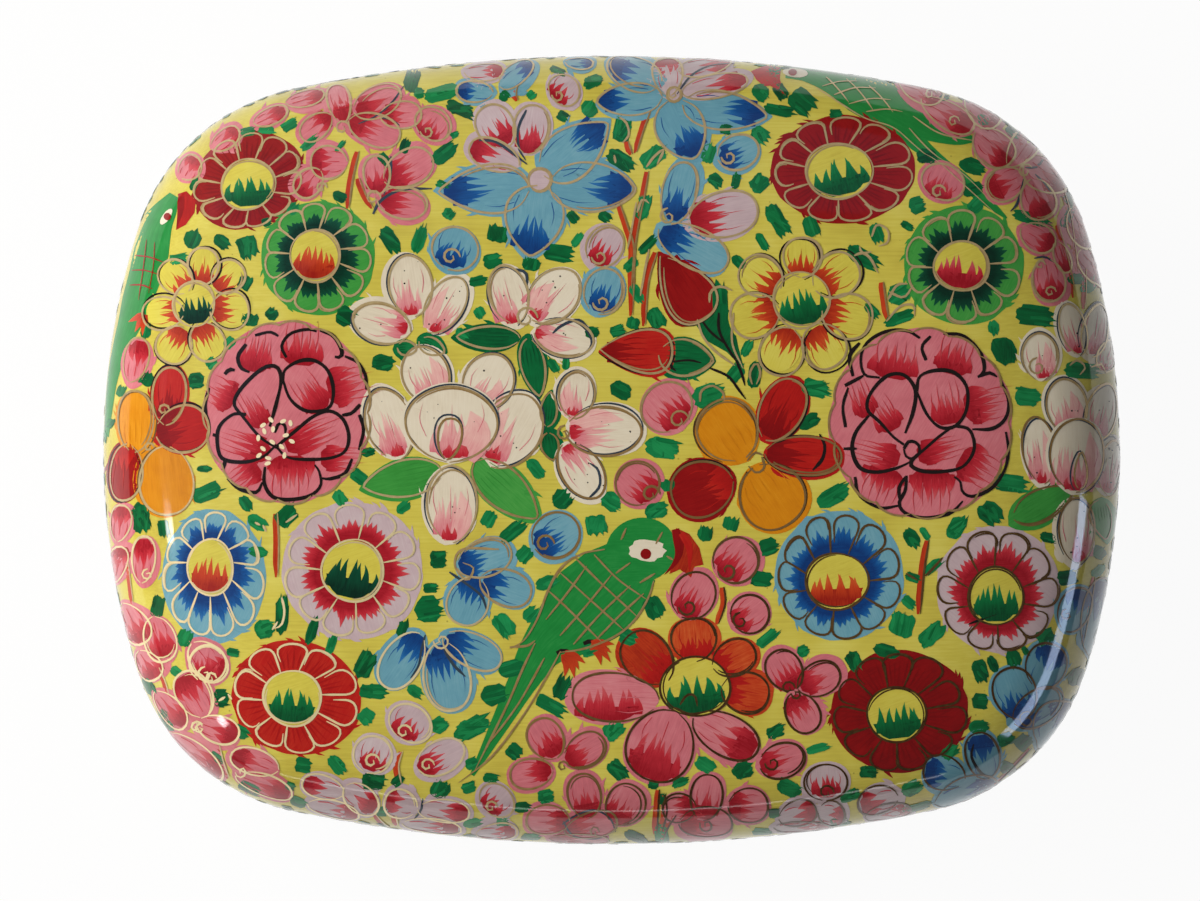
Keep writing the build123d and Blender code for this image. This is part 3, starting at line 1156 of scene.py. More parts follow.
def peony(x, y, rx, ry, blushes, lines, stamens):
    # a full round head: blushed petals parted by thick black lines, a scalloped bronze rim
    turns = roundTurns(90)
    wave = 1 + 0.022 * np.abs(np.sin(turns * 5.5)) + np.interp(
        turns, np.linspace(0, 2 * math.pi, 20), np.append(vary(-0.012, 0.012, 19), 0))
    outline = ellipse(0, 0, rx, ry, 0, turns) * wave[:, None] + (x, y)
    patch("pinkPaint", outline, (x, y), "fill", 60, tone=0.5)
    taken[brush["side"]].append((x, y, max(rx, ry)))
    for bx, by, length, width, angle in blushes:
        blush(bx, by, length, width, angle)
        shape = (bx, by, length * 1.5, width * 1.1, angle, 0.5, 0.5)
        hairs("crimson", shape, 0.35, 1.0, 5, 0.55, 0.16)
    for points in lines:
        ribbon("inkLine", points, 0.52, "shadow", taper=(0.8, 0.6), wobble=0.25)
    scallops = 15
    for k in range(scallops):
        at = 2 * math.pi * (k + np.linspace(-0.02, 1.0, 7) + vary(-0.04, 0.04)) / scallops
        bulge = 0.965 + 0.05 * np.sin(np.linspace(0, math.pi, 7)) ** 0.7
        rim = ellipse(0, 0, rx, ry, 0, at) * bulge[:, None] + (x, y)
        # the scalloped bronze rim takes the painted light and shade of the flower's place
        ribbon("goldLine", rim, 0.34, tone=paintedLightAndToneAt(x, y))
    for sx, sy in stamens:
        oval("creamDots", sx, sy, 0.5, 0.3, vary(0, 180), corners=10, tone=0.8)


parrotInMiddle = {
    "body": [([(3.5, -16.5), (0.5, -19.5), (-3.2, -23), (-7, -26.5), (-10.5, -29.8), (-13.5, -35),
        (-17, -41.5), (-20.8, -48.5)], [8.5, 12, 13, 10, 6.5, 4.3, 2.6, 0.7])],
    "head": (4.4, -14.9, 5.3, 4.8, 15),
    # round places that it takes up: x, y, length, width, angle
    "covers": [(2, -18.5, 7, 10, 0), (4.5, -14.5, 9, 9, 0), (11.4, -15.4, 5, 4, 90),
        (-4.5, -23.5, 9, 10, 45), (-10, -30, 9, 6, 45), (-16, -40, 12, 3, 60)],
    # paint, width, tone and lines
    "feathers": [ ("goldLine", 0.29, 0.54, [ [(-9.8, -25.3), (-6.5, -21.2), (-3.7, -17.3)], [(-7.7, -27.7),
        (-4, -23.5), (0, -18.6)], [(-5.7, -29), (-1.8, -24.6), (2.8, -20.2)], [(-2.2, -28.2), (1.3, -24.6),
        (4.8, -21.4)], [(-9.4, -21), (-6.8, -23.4), (-1.5, -28.6)], [(-7.9, -18.1), (-3, -22.5), (2, -27)],
        [(-5.5, -16), (-1, -20.4), (3.8, -24.8)], [(-2.6, -15.6), (1, -19.3), (5.4, -22.4)]]), ("goldLine",
        0.32, 0.54, [ [(-1, -14.8), (-4.5, -15.5), (-7.5, -17.5), (-9.5, -21), (-11, -25), (-13, -28.3),
        (-15.2, -29.6)], [(6.3, -19.5), (5.5, -22), (3.5, -25.3), (0.5, -27.8), (-4, -29.6), (-7.8, -30.2)],
        [(-11.4, -28.8), (-13.2, -32.5), (-15.8, -38.5), (-20.4, -47.8)], [(-7.6, -30), (-9.5, -33.5),
        (-13, -39.3), (-17.8, -45.6), (-22.8, -49.6)], [(-10, -31), (-14, -38), (-18.5, -44)],
        [(-15.2, -29.4), (-12.6, -29.2), (-11.4, -28.4)], [(0.6, -18.4), (2.8, -16.8)], [(4.2, -19.8),
        (6.5, -18.4)], [(1.4, -13.4), (2.2, -11.6)], [(6.6, -14), (7.6, -12.2)], [(8.2, -15.8),
        (9.2, -16.4)]])],
    "eye": (5.3, -15, 2.7, 1.75, 0, 22),
    "ragged": 0.14,
    "pupil": (5.1, -15.5, 0.8),
    "beak": ("orangeRed", [(8.6, -18.5), (10.2, -17.8), (11.9, -19.2), (12.4, -17.4), (13.7, -17.1),
        (13.1, -14.6), (11.6, -12.5), (9.6, -11.6), (9.9, -14.4)], (11.3, -15.6), "petal", 70, 0.15),
    # paint, points, width, layer, tones
    "strokes": [("darkRed", [(9.5, -11.8), (10.1, -14.6), (9.6, -16.6), (7.9, -18.6)], 1.5, "flare",
        (0.4, 0.2)), ("scarlet", [(10.4, -12.4), (11.6, -14.6), (11.6, -18.4)], 1.2, "flare", (0.7, 0.4))],
}
parrotAbove = {
    "body": [([(26, 57.2), (29, 57), (33, 56), (37, 54.2), (40.5, 52.3), (44, 50.2), (48, 48.4), (52, 47),
        (54.5, 46.6)], [3.4, 4, 5.6, 7, 6.8, 5, 3.2, 1.8, 0.6]), ([(42.5, 50), (46, 46.4), (51, 41.8),
        (55, 38), (59, 34.6)], [3, 2.6, 2.4, 2, 0.5])],
    "covers": [(33, 55, 9, 6, -20), (43, 50, 8, 6, -30), (51, 42, 20, 2.4, -42), (50, 47.5, 6, 3, -20)],
    "feathers": [ ("goldLine", 0.27, 0.66, [ [(31.4, 54.2), (34, 55), (36.6, 55.2)], [(33.2, 53),
        (36.4, 54), (39.4, 54)], [(35.4, 51.8), (38.8, 52.4), (41.6, 52.2)], [(38, 50.8), (41, 51),
        (43.4, 50.6)], [(32, 55.8), (33.6, 54), (35.4, 52)], [(35, 55.6), (37, 53.4), (39, 51)],
        [(38.4, 54.4), (40.2, 52.6), (42, 50.6)], [(30.5, 54), (34, 52), (38, 50), (42, 48.8), (45, 46.6),
        (51, 41), (58, 34.6)], [(44.5, 48.6), (48, 45.2), (53, 40.8), (57, 36.6)], [(45, 50), (49, 47.8),
        (54, 46.5)]])],
    "eye": (27.4, 56.5, 1.9, 0.9, -5, 16),
    "pupil": (27, 56.5, 0.65),
    "beak": ("scarlet", [(20.8, 56.6), (21.6, 55.2), (22.8, 54.3), (24.2, 54.4), (25.8, 53.2), (25.1, 55.3),
        (25.3, 57.4), (23, 57.8)], (23.4, 56), "petal", 0, 0.5),
    "strokes": [("scarlet", [(22.5, 55.8), (24, 54.8), (26, 53.1)], 1.3, "flare", (0.6, 0.3))],
    "keepNear": (38, 52.5),
}
parrotAtLeft = {
    "body": [([(-65.2, 38), (-66.4, 36), (-67.9, 33.4), (-69, 29.5), (-69.9, 26), (-71.1, 22.3),
        (-72.1, 18.9), (-73.4, 15.2), (-74.6, 10), (-75.4, 2)], [1.6, 3.4, 4.8, 6, 5.6, 5, 4, 2.6, 1.6,
        0.8])],
    "covers": [(-69, 29, 12, 6, 75), (-72.4, 16.5, 9, 4.4, 75), (-74.3, 9, 8, 3, 80),
        (-63.5, 36, 5, 3, 75)],
    "feathers": [ ("darkRed", 0.2, 0.9, [ [(-71, 29), (-69, 28.8), (-66.8, 28)], [(-71.5, 26.8),
        (-69.6, 26.8), (-67.6, 26.2)], [(-71.8, 24.6), (-70, 24.6), (-68.4, 24)], [(-69.3, 31.4),
        (-69.8, 27), (-70.5, 22.4)], [(-68.1, 31), (-68.3, 27.4), (-69, 23.4)]])],
    "eye": (-66.4, 34.8, 1.4, 0.55, 55, 16),
    "pupil": (-66.2, 34.8, 0.55),
    "beak": ("scarlet", [(-65, 32.8), (-63.5, 33.6), (-62.2, 35.4), (-62, 37.2), (-63.4, 38.6),
        (-64.7, 38.2), (-64.3, 36.4), (-64.6, 34.6)], (-63.3, 36.4), "petal", 90, 0.1),
    "strokes": [("darkRed", [(-64.2, 37.8), (-64.3, 35.6), (-64.9, 33)], 1.1, "flare", (0.5, 0.2))],
}


def parrot(bird):
    if "keepNear" in bird:
        keepNear(*bird["keepNear"])
    for points, widths in bird["body"]:
        band("parrotGreen", points, widths, "fill")
    if "head" in bird:
        oval("parrotGreen", *bird["head"], "petal", 40)
    for disc in bird["covers"]:
        occupy(*disc)
    for paint, width, tone, lines in bird["feathers"]:
        for points in lines:
            ribbon(paint, points, width, tone=tone)
    x, y, rx, ry, tilt, corners = bird["eye"]
    white = ellipse(0, 0, rx, ry, tilt, roundTurns(corners))
    if "ragged" in bird:
        white = white * vary(0.96 - bird["ragged"], 0.96 + bird["ragged"], (corners, 1))
    patch("cream", white + (x, y), (x, y), "flare", 0, tone=0.7)
    x, y, radius = bird["pupil"]
    oval("darkRed", x, y, radius, radius)
    patch(*bird["beak"])
    for stroke in bird["strokes"]:
        blade(*stroke)
    brush["inset"] = None


def toe(x, y, angle, half, whole, width, tone):
    # half and whole: how far along and down the middle and the tip are from the root
    cos, sin = math.cos(math.radians(angle)), math.sin(math.radians(angle))
    blade("orangeRed", [(x, y), (x + half[0] * cos + half[2], y + half[1] * sin + half[3]),
                               (x + whole[0] * cos, y + whole[1] * sin)], width, tone=tone)


# the top, as the painter filled it: places and sizes in millimetres from the middle

flowersOnLid = [
    # look, then petals: x, y, length, width, angle
    # and how pointed the tip is, where it differs from the usual
    ("blue", [(-18.8, 38.8, 13.6, 7.4, 183, 0.9), (-3, 39.3, 13, 7.4, -5, 0.7),
        (-5.5, 45, 12.4, 7.6, 40, 0.9), (-11.8, 34, 10.6, 8.8, -97, 0.8), (2.5, 52.3, 9.8, 4.8, 183, 0.7),
        (3.5, 56.7, 8.5, 4.4, 165), (17, 50.7, 12.8, 5.8, -5, 0.8), (10.6, 47.8, 9.4, 7.4, -63, 0.7),
        (-20.3, 53.5, 5.5, 3, 175), (-14, 56, 6, 3, 35), (-4.7, 57.8, 4.3, 1.6, 0),
        (49.7, -48.5, 6.3, 5, 170), (55.5, -46, 7, 5, 100), (53, -51.5, 10, 3.2, 18),
        (65, -32.5, 7, 6, 70), (69.2, -24, 7, 4.5, 70), (72.9, -25, 12, 3.2, 78),
        (67.3, -42, 9, 4.5, 55)]),
    ("blueHeart", [(-19, -16.3, 8.5, 5.6, 20), (-21.6, -22.3, 7.5, 6.2, -110),
        (-15.7, -20.7, 8, 5.4, -20), (-31, -31.2, 9.5, 5.8, 235), (-24.5, -33.8, 10.5, 7, -80),
        (-20.8, -30, 9.5, 5, -25), (10.2, 38.5, 9.5, 5.2, 75), (12, 30.2, 11.5, 6, -28),
        (60, -36.5, 8, 6.4, 110), (63.5, -38.5, 8.5, 5, 35)]),
    ("pale", [(-17.5, 43.9, 8, 4.6, 155), (8.3, 56.4, 5, 4.6, 100), (14, 57.5, 8, 2.6, 8),
        (15.5, 54.5, 10, 3.3, 12), (-19, 56.5, 6, 2.2, 5), (-43, -50.5, 6.5, 3.3, 165),
        (-37.5, -52, 6, 4, -35), (-41.5, -53.7, 8, 2.2, -12), (-25, -53.8, 7.8, 3.2, -8),
        (-27, -56.2, 9, 2, -5), (-31.3, -52.7, 5, 4.2, 170), (-17.3, -57.2, 6.3, 2.2, 0),
        (28, -54.5, 5.8, 3.5, 10), (33, -54.5, 4, 3.4, -10), (28.5, -57, 9, 1.6, 3),
        (40, -52.5, 6.2, 3.8, 195), (41.3, -55, 7, 2.2, 8)]),
    ("paleHeart", [(16.5, 35.2, 10.5, 6.8, 10), (-17.3, 48.3, 7, 5.6, 120), (-12, 47.6, 7.4, 5.4, 82)]),
    ("pink", [(-63, 42, 4, 3, 60), (-57.5, 46.5, 5, 2.6, 40), (-51, 49.6, 5.5, 2.4, 25),
        (-45.5, 52.3, 6, 2.2, 15), (-42.3, 43, 5.5, 5, 180), (-45.3, 39.8, 5, 4, 230),
        (-70.8, 13.2, 6.8, 3.5, 80), (-73.3, -11, 5.5, 2.7, 85), (-69.9, -16.5, 7, 3.3, 90),
        (-73.8, -17, 5.5, 2.5, 80), (-71.3, -25.8, 6.8, 3.4, -65), (-67.7, -28, 7, 4.5, -75),
        (-69.3, -32, 5, 3, -60), (-60.2, -31.5, 7, 5, -50), (-62.3, -36.7, 7.5, 5.2, 120),
        (-58.7, -41.7, 6.5, 4, -20), (-65.8, -38.5, 7, 3, -50), (-53.3, -46.8, 7.5, 3.7, 160),
        (-52, -50, 9, 2.8, -22), (-62.5, -46, 11, 2.6, -40), (46, 54.3, 7, 3, -20), (50, 50, 9, 3.6, -28),
        (55.7, 51, 6.5, 3, -35), (57.2, 45.3, 7, 5, -40), (61.8, 45.5, 5, 4.2, 60),
        (58.7, 39.8, 6, 5, 205), (63.8, 37.5, 6.3, 5, -65), (65, 41.3, 7.5, 4, -40),
        (63.7, 31.5, 5.6, 4.2, -30), (65.2, 25.2, 6.5, 5, -80), (67.4, 28.7, 5, 2.2, -70),
        (70.5, 33.5, 7, 3, -65), (72.5, 27.5, 6.5, 2.6, -60), (17, -42.5, 10.8, 6.2, -30),
        (7.2, -44.2, 11, 10, -110)]),
    ("pinkHeart", [(-35.2, 41, 5.8, 4, 95), (-30.3, 42, 8, 5.5, 30), (-31, 36.8, 7.5, 4.8, -10),
        (-44, 48.5, 5.5, 3.5, 215), (-40.5, 52, 5.5, 3.5, 105), (-34.8, 51.8, 7.6, 4.6, 25),
        (-31.5, 50.2, 6.2, 4, 5), (-35.6, 48, 8, 4.8, -20), (-9.7, -43, 6.5, 5.3, 120),
        (-4, -45, 6.7, 5, 30), (-12, -48, 6.5, 4.5, 190), (-4, -51.7, 6.7, 5, 100),
        (-9.3, -55.5, 6.5, 4, 180), (1.8, -53, 6.5, 5.8, 60), (-3.3, -56, 8, 3.6, 10),
        (-5, -58.3, 9, 1.4, 0), (14.3, -52, 7, 4.8, 80), (20.3, -53.3, 6, 5, 0), (10, -53.5, 5, 4.2, 190),
        (14, -56, 8, 4, 0), (26, -33, 6.5, 5.3, 120), (31, -34, 6.8, 5, 25), (28.4, -39.3, 6.5, 5, -60)]),
    ("orange", [(-71, 4.2, 9.2, 5.2, 90), (-66.6, -4.4, 10.3, 8.1, -85), (17.2, 2.8, 9.5, 9, 125),
        (23.8, -6.8, 10, 9.8, -55)]),
    ("red", [(-65.9, 8.2, 8.7, 5, 85), (-64.2, 3.3, 8, 7, 15), (25.5, 6, 10, 6.5, 62),
        (28.5, -0.7, 11.5, 5.8, -3)]),
    ("darkRed", [(-72.8, -3.5, 8.5, 4.3, -92), (13.8, -5.8, 9.5, 8.3, 200)]),
    ("orangeRed", [(5.5, -31, 9, 7, 135), (12.5, -28.3, 6.5, 6.8, 95), (18, -31, 6.8, 5.4, 25),
        (20, -36, 7.2, 6.2, -10)]),
    ("sun", [(28.3, 28.6, 6, 5.8, 90), (33.6, 26.2, 7.4, 6.6, 35), (35, 19.8, 7.6, 6.8, -12),
        (31.8, 15.4, 7, 6.6, -60), (25.4, 15, 7.4, 6.6, -112), (21.4, 20, 7.4, 6.8, 195),
        (22.4, 25.8, 6.8, 6.2, 145), (-60.8, 27.2, 5.6, 4.6, 85), (-57.2, 25.7, 5.4, 4.8, 45),
        (-56.8, 21, 5.8, 5.8, 0), (-60.3, 16.2, 6, 5.2, -65), (-65.3, 15.8, 5.8, 5.4, 240),
        (-66.6, 20.6, 6.2, 5, 185), (-64.8, 25.5, 5.6, 4.8, 130)]),
    ("leaf", [(-31.2, -4.3, 12, 5.5, 193), (-15.8, -6.2, 12.5, 6, -42), (64.5, -8.2, 10, 4.8, 30),
        (73.5, -10.5, 6, 2.6, -85)]),
    ("darkLeaf", [(11.2, 13.8, 8.3, 5.5, -5), (-9.3, 6.2, 5.3, 2.5, 85), (-9.2, 0.7, 4.2, 2.7, -80),
        (-30.6, 15, 3, 2.2, 0), (-26.7, 15.5, 4.2, 2.6, -25), (-18.5, 16.9, 9.5, 3.4, 180),
        (-11.8, 12.5, 8.8, 3.6, -80)]),
]
creamOnLid = [
    # x, y, length, width, angle, and how far the blush is off the middle
    (-27.5, 11, 9, 7, 112, 0.1), (-18.5, 9.9, 9, 7.5, 62, -0.1), (-33, 4, 11, 7, 108, 0.1),
    (-15, 3, 12, 9, 62), (-24, -8.2, 11.5, 7.5, 90), (-34.5, 19, 9, 6, 165),
    (-30.2, 24.4, 9.3, 6.5, 98, 0.1), (-24.7, 21.5, 9.5, 5.5, 60, -0.15), (-15.3, 23, 9, 5.8, 105, 0.2),
    (-8.5, 22.8, 9.5, 7, 50), (-7.3, 16.9, 9, 5.6, -12), (-5.3, 8.4, 7.2, 5.4, 85, 0.1),
    (-1, 3, 11.5, 7.4, 0), (-4.5, -3, 9.5, 6, -55, 0.1), (63.8, 14, 7.2, 5.4, 95), (68.9, 18, 8, 3.7, 105),
    (72.3, 18, 8, 3.4, 85), (74.6, 14.2, 5, 2.6, 80), (67.7, 6.3, 8.5, 6, 100), (73.2, 5.5, 8.5, 4.2, 80),
    (63.8, -0.3, 10.2, 5, 98, 0.1), (74.6, -2.5, 8.5, 3, 85), (69.3, -12.2, 9.8, 5.3, 92),
]
creamInFront = [(-23.8, 4, 11.3, 13.8, 90), (69.6, -1, 11, 8.2, 90)]
daisiesOnLid = [
    # x, y, rx, ry, tilt, disc, petals, core (x, y, rx, ry), flame, heart, start
    (-54.2, 40.2, 8.6, 7, 25, "darkRed", 11, (-54.2, 39.6, 4, 3.6), "leafGreen", None, 0.3),
    (-43.8, 28.6, 8.5, 8.5, 0, "lightGreen", 11, (-44.2, 29, 3.6, 3.8), "orangeRed", "darkGreen", 0.2),
    (34.5, 41.8, 10.8, 8.1, 0, "darkRed", 11, (33.9, 41.6, 4.9, 4), "leafGreen", None, 0.1),
    (52.5, 27.5, 9, 8.9, 0, "lightGreen", 10, (52.2, 27.4, 4, 3.6), "crimson", "darkGreen", 0.0),
    (-59.3, -18.8, 7.8, 10, 0, "paleBlue", 11, (-59.8, -17.5, 3.3, 4.1), "orangeRed", "deepBlue", 0.1),
    (-38.6, -18, 10.5, 10.3, 0, "palePink", 11, (-38.6, -18, 4.5, 4.5), "darkGreen", "crimson", 0.2),
    (-47, -37, 9.8, 8.5, -15, "scarlet", 10, (-47.6, -37, 4.2, 4), "leafGreen", None, 0.3),
    (34, -18.7, 9.6, 9.8, 0, "paleBlue", 11, (33.6, -19.6, 4.6, 4.1), "orangeRed", "deepBlue", 0.0),
    (57.6, -20.8, 9.2, 9.5, 0, "palePink", 10, (57.3, -21.8, 4, 4.2), "leafGreen", "crimson", 0.3),
    (43, -39, 10.3, 9.2, 0, "darkRed", 11, (42.5, -39.4, 4.3, 4), "leafGreen", None, 0.15),
]
budsOnLid = [
    # look, x, y, width, height, swirl x, y, turn
    ("blue", -8.3, -12.9, 7.4, 6.8, -10, -14, 0), ("blue", -23.5, 30.2, 7, 6.5, -24, 28.8, 0),
    ("pale", -1, 30.3, 5.5, 6.5, -1.8, 28.8, 180), ("blue", -1, 23.7, 6, 7, -1.5, 22, 180),
    ("pale", -7.3, 53.8, 5, 4.3, -8, 53, 180), ("pink", -26.8, 48.5, 5.7, 4.8, -27.5, 47.5, 180),
    ("blue", 19, 44.3, 6.4, 5.2, 17.5, 43.7, 180), ("pink", 49.3, 39.8, 6.6, 5.3, 48.7, 38.5, 0),
    ("pink", 8.3, 6.3, 8, 7.2, 10, 4.5, 0), ("pink", 4, -5, 6.6, 6.6, 5.8, -6.6, 0),
    ("pink", 18.7, -16.5, 6.8, 7, 17.3, -18, 180), ("pink", 12.3, -21.8, 6.4, 7.3, 11.4, -23.4, 180),
    ("pink", 20.4, -24.5, 5.8, 5.8, 19.2, -25.5, 90), ("pink", 25.3, -46.3, 7, 5.2, 24, -46.7, 180),
    ("pale", -30.2, -40.7, 6.8, 5.4, -31, -42, 0), ("pale", -35.4, -45.3, 5.8, 5.6, -35.8, -46.4, 0),
    ("pale", -25.7, -46, 7.6, 5, -27.5, -47, 0), ("pale", -17.2, -52.3, 5.7, 4.5, -18, -53.2, 0),
    ("pale", 31.9, -49.3, 6.5, 5.4, 32, -51, 0), ("pink", -60.3, -31.7, 5.5, 5.6, -60.6, -33.5, 90),
]


peonyLeft = {
    "blushes": [(-53, 14.4, 6, 5.2, 80), (-46.3, 15.4, 6, 6.6, 85), (-39.4, 9.6, 6.5, 6.4, 15),
        (-44.8, 8.2, 6, 5, 125), (-53.2, 5.8, 5.5, 4, 120), (-58, 8.4, 4.5, 5.5, 150),
        (-44.8, 2.2, 9, 4.6, 22), (-54.6, 0.6, 8, 4.4, 160), (-48, -3.6, 6, 7.4, -90),
        (-40.6, -1.2, 6, 4.2, 0), (-54.6, -3.7, 5, 4.4, 215)],
    "lines": [ [(-51, 3.5), (-50, 7), (-49.3, 10.5), (-50, 12.4), (-52, 12.2), (-55, 9.5), (-56.3, 7),
        (-55, 5), (-52.5, 2), (-50, 0.3)], [(-49, 10.3), (-48.7, 12), (-46.5, 13.3), (-44.2, 13.3),
        (-42.3, 11.8), (-41.5, 9), (-42, 6.5), (-43.8, 5.8), (-46, 6), (-48, 7.7), (-49, 10.3)],
        [(-50, 0.5), (-47, 3), (-44.5, 5), (-42, 5.8), (-40, 4.5), (-39.2, 2), (-39.8, -0.2), (-42, -1.2),
        (-46, -1.4), (-48.5, -1), (-50, 0.5)], [(-54.5, 5.3), (-56.5, 5.3), (-58.5, 3.5), (-58.8, 1),
        (-58, -1.3), (-54.8, -1.8), (-52, -1), (-50, 0.8)], [(-53.2, 17.1), (-51, 17.6), (-49.7, 17)],
        [(-54.5, 15.8), (-55.7, 14), (-55.3, 12.3), (-54, 11.6)], [(-48.5, 13.8), (-49.2, 15.5),
        (-48, 17.3), (-45.5, 18), (-44, 17.7)], [(-43.5, 17.9), (-41.5, 17), (-40.3, 15), (-40.4, 13.9),
        (-41.3, 13.9)], [(-39.8, 14), (-37.8, 13), (-36.7, 11), (-36.6, 9)], [(-37.5, 6.8), (-38.8, 5.5),
        (-40.2, 5.2)], [(-37.6, 5.3), (-37, 3), (-37.7, 0)], [(-38.7, -1.3), (-39.8, -3.5), (-42, -4.3),
        (-43.2, -4.2)], [(-51.7, -2.5), (-51.8, -5), (-50.5, -7), (-48, -7.4), (-45, -6.8), (-43.4, -5.3),
        (-43.6, -3.3), (-44.3, -2.2)], [(-57.5, -1.2), (-58, -3)], [(-57.3, -4.2), (-55.5, -5.8),
        (-53, -6.3), (-52.1, -4.8)], [(-60.4, 5), (-60.6, 7), (-60, 9.3)], [(-57.7, 11.3), (-57, 12),
        (-56.2, 11.9)], [(-50.3, 2.6), (-49.6, 4), (-48.7, 3.6), (-48.7, 2.5)], [(-59.5, 2.3),
        (-58.7, 2.1)]],
    "stamens": [(-52, 3.7), (-50.8, 4.5), (-49, 4.3), (-47.9, 4), (-51.8, 2.8), (-50.5, 3.1), (-48.6, 2.2),
        (-47.7, 1.3), (-52.7, 1.8), (-52, 0.2), (-50.6, 1.2), (-49.2, 0.5), (-51.2, -1.2), (-51.3, -2),
        (-48.8, -0.8), (-52.6, -0.8)],
}
peonyRight = {
    "blushes": [(42.2, 13.4, 6, 7.6, 80), (51.2, 14, 6, 6.4, 75), (55.6, 6.8, 6.5, 6.2, 10),
        (50, 6.6, 6, 5.6, 100), (41, 5, 5, 4.4, 120), (37.4, 7.4, 5.5, 4, 110), (40.4, -4.8, 5, 7, 250),
        (47.7, -5.6, 6, 7.4, -90), (54.6, -2.6, 6.5, 6.4, -30), (48.8, 0, 7, 4.2, 15),
        (39.8, -0.6, 7, 4, 165)],
    "lines": [ [(40, 10.8), (37.7, 11.3), (37.2, 14), (38.3, 16.2), (41, 17.7), (44, 17.8), (46, 16.7)],
        [(46.9, 13.4), (46.3, 15.4), (47.6, 17)], [(49.5, 17.4), (52.5, 17), (55, 14.5), (55.6, 12),
        (54.7, 10.9)], [(54.6, 10.9), (56.4, 11.5), (57.5, 10.9)], [(58, 10.4), (59.2, 7.5), (58.8, 4.8),
        (56.8, 3.2), (53.8, 3.1)], [(43.8, 2.5), (45, 5.8), (45.3, 9), (43.6, 11.2), (41, 11), (38.6, 8.4),
        (38.2, 6), (40, 4.2), (42, 2), (43.6, 0.8)], [(45.5, 8.8), (46, 11), (48.5, 11.9), (51.2, 11.5),
        (53, 9.3), (52.9, 5.9), (51.3, 3.6), (49, 3.4), (47, 5.4), (45.5, 8.8)], [(38.4, 5.2), (36.4, 2.6),
        (35.9, 0), (37, -2.6), (39.5, -3.3), (42.5, -2.7), (44.7, -1.7)], [(51.3, 3.6), (53.4, 3),
        (54.1, 0.2), (52.5, -2.4), (49.5, -3.2), (46.2, -3.1), (44.6, -1.9), (47, 0.4), (49.6, 2.6),
        (51.3, 3.6)], [(43.6, 0.2), (44.4, 1.3), (45.7, 0.9), (45.9, -0.4), (45, -1.3), (43.9, -0.9),
        (43.6, 0.2)], [(58.8, 2.7), (59.2, 0), (58.6, -3), (56.8, -5.6), (54, -6.9), (52.4, -6.3),
        (52, -4.7), (51.1, -4)], [(44, -3.8), (43.8, -6), (42.9, -8), (44, -9.5), (47, -10.1), (50.5, -9.4),
        (52.4, -7.6)], [(36.3, -4), (37, -6.8), (40, -8.6), (42.8, -8.3)], [(43.9, -4), (42.9, -5.6),
        (43, -7.6)], [(34.9, 3.4), (34.5, 6.5), (35.3, 9.3)], [(34.8, 9.6), (37.6, 11.1)], [(36, 11),
        (35.5, 14), (37, 16)], [(34.6, 0.2), (36.6, 0.2)]],
    "stamens": [],
}
stemsOnLid = [
    [(5.5, 50.5), (4.4, 47.5), (3.4, 44.3)], [(2.1, 46), (2.8, 44)], [(5.2, 41.5), (4.6, 38), (3.8, 34),
    (3.2, 30), (3, 25), (2.8, 20)], [(0.8, 37), (2, 33.5), (3, 30), (2.6, 24)], [(6.5, 29.5), (5.2, 25),
    (4.7, 18.5)], [(67, 39), (68, 35.5), (68.7, 31), (69.2, 26.5)], [(66.3, 33.5), (67.3, 30), (68.3, 26),
    (68.8, 22.7)], [(70.4, 27), (70.4, 24), (70.3, 21)], [(40.2, 25), (40.6, 22), (41, 19.5)], [(47, -13.5),
    (46.3, -18), (45.7, -24.5)], [(-50.2, -9.5), (-50, -14), (-50.1, -19)], [(-38, 44.5), (-39, 40),
    (-39.5, 36)], [(-37.9, 40.5), (-37, 38), (-35.8, 36)], [(-67.8, -32.5), (-66.9, -34.5), (-66.3, -36.5)],
    [(-58.8, -44), (-58.2, -46.5), (-57.3, -49)], [(-72.3, -17), (-72, -20), (-71.6, -23)], [(-31.5, -45),
    (-32.1, -47.2), (-31.7, -49.8)], [(6.8, -50.7), (6.6, -54), (6.4, -57.3)], [(9.3, -54.5), (8, -56.5),
    (7.2, -58.6)], [(16.4, -20.5), (16.6, -23), (15.6, -26)], [(62.3, -44.5), (60, -47), (57, -50)],
    [(71.8, -19), (71, -24), (70, -29)], [(-14.3, 54.2), (-14.6, 53), (-14.2, 52)], [(51.5, 51.6),
    (53, 50.3), (54.3, 49)], [(-35.5, -54.4), (-34.4, -55.6), (-33, -56.6)], [(-32.5, -54.5), (-32.2, -56)],
    [(7.6, -51.5), (7.9, -54), (7.2, -57)],
]
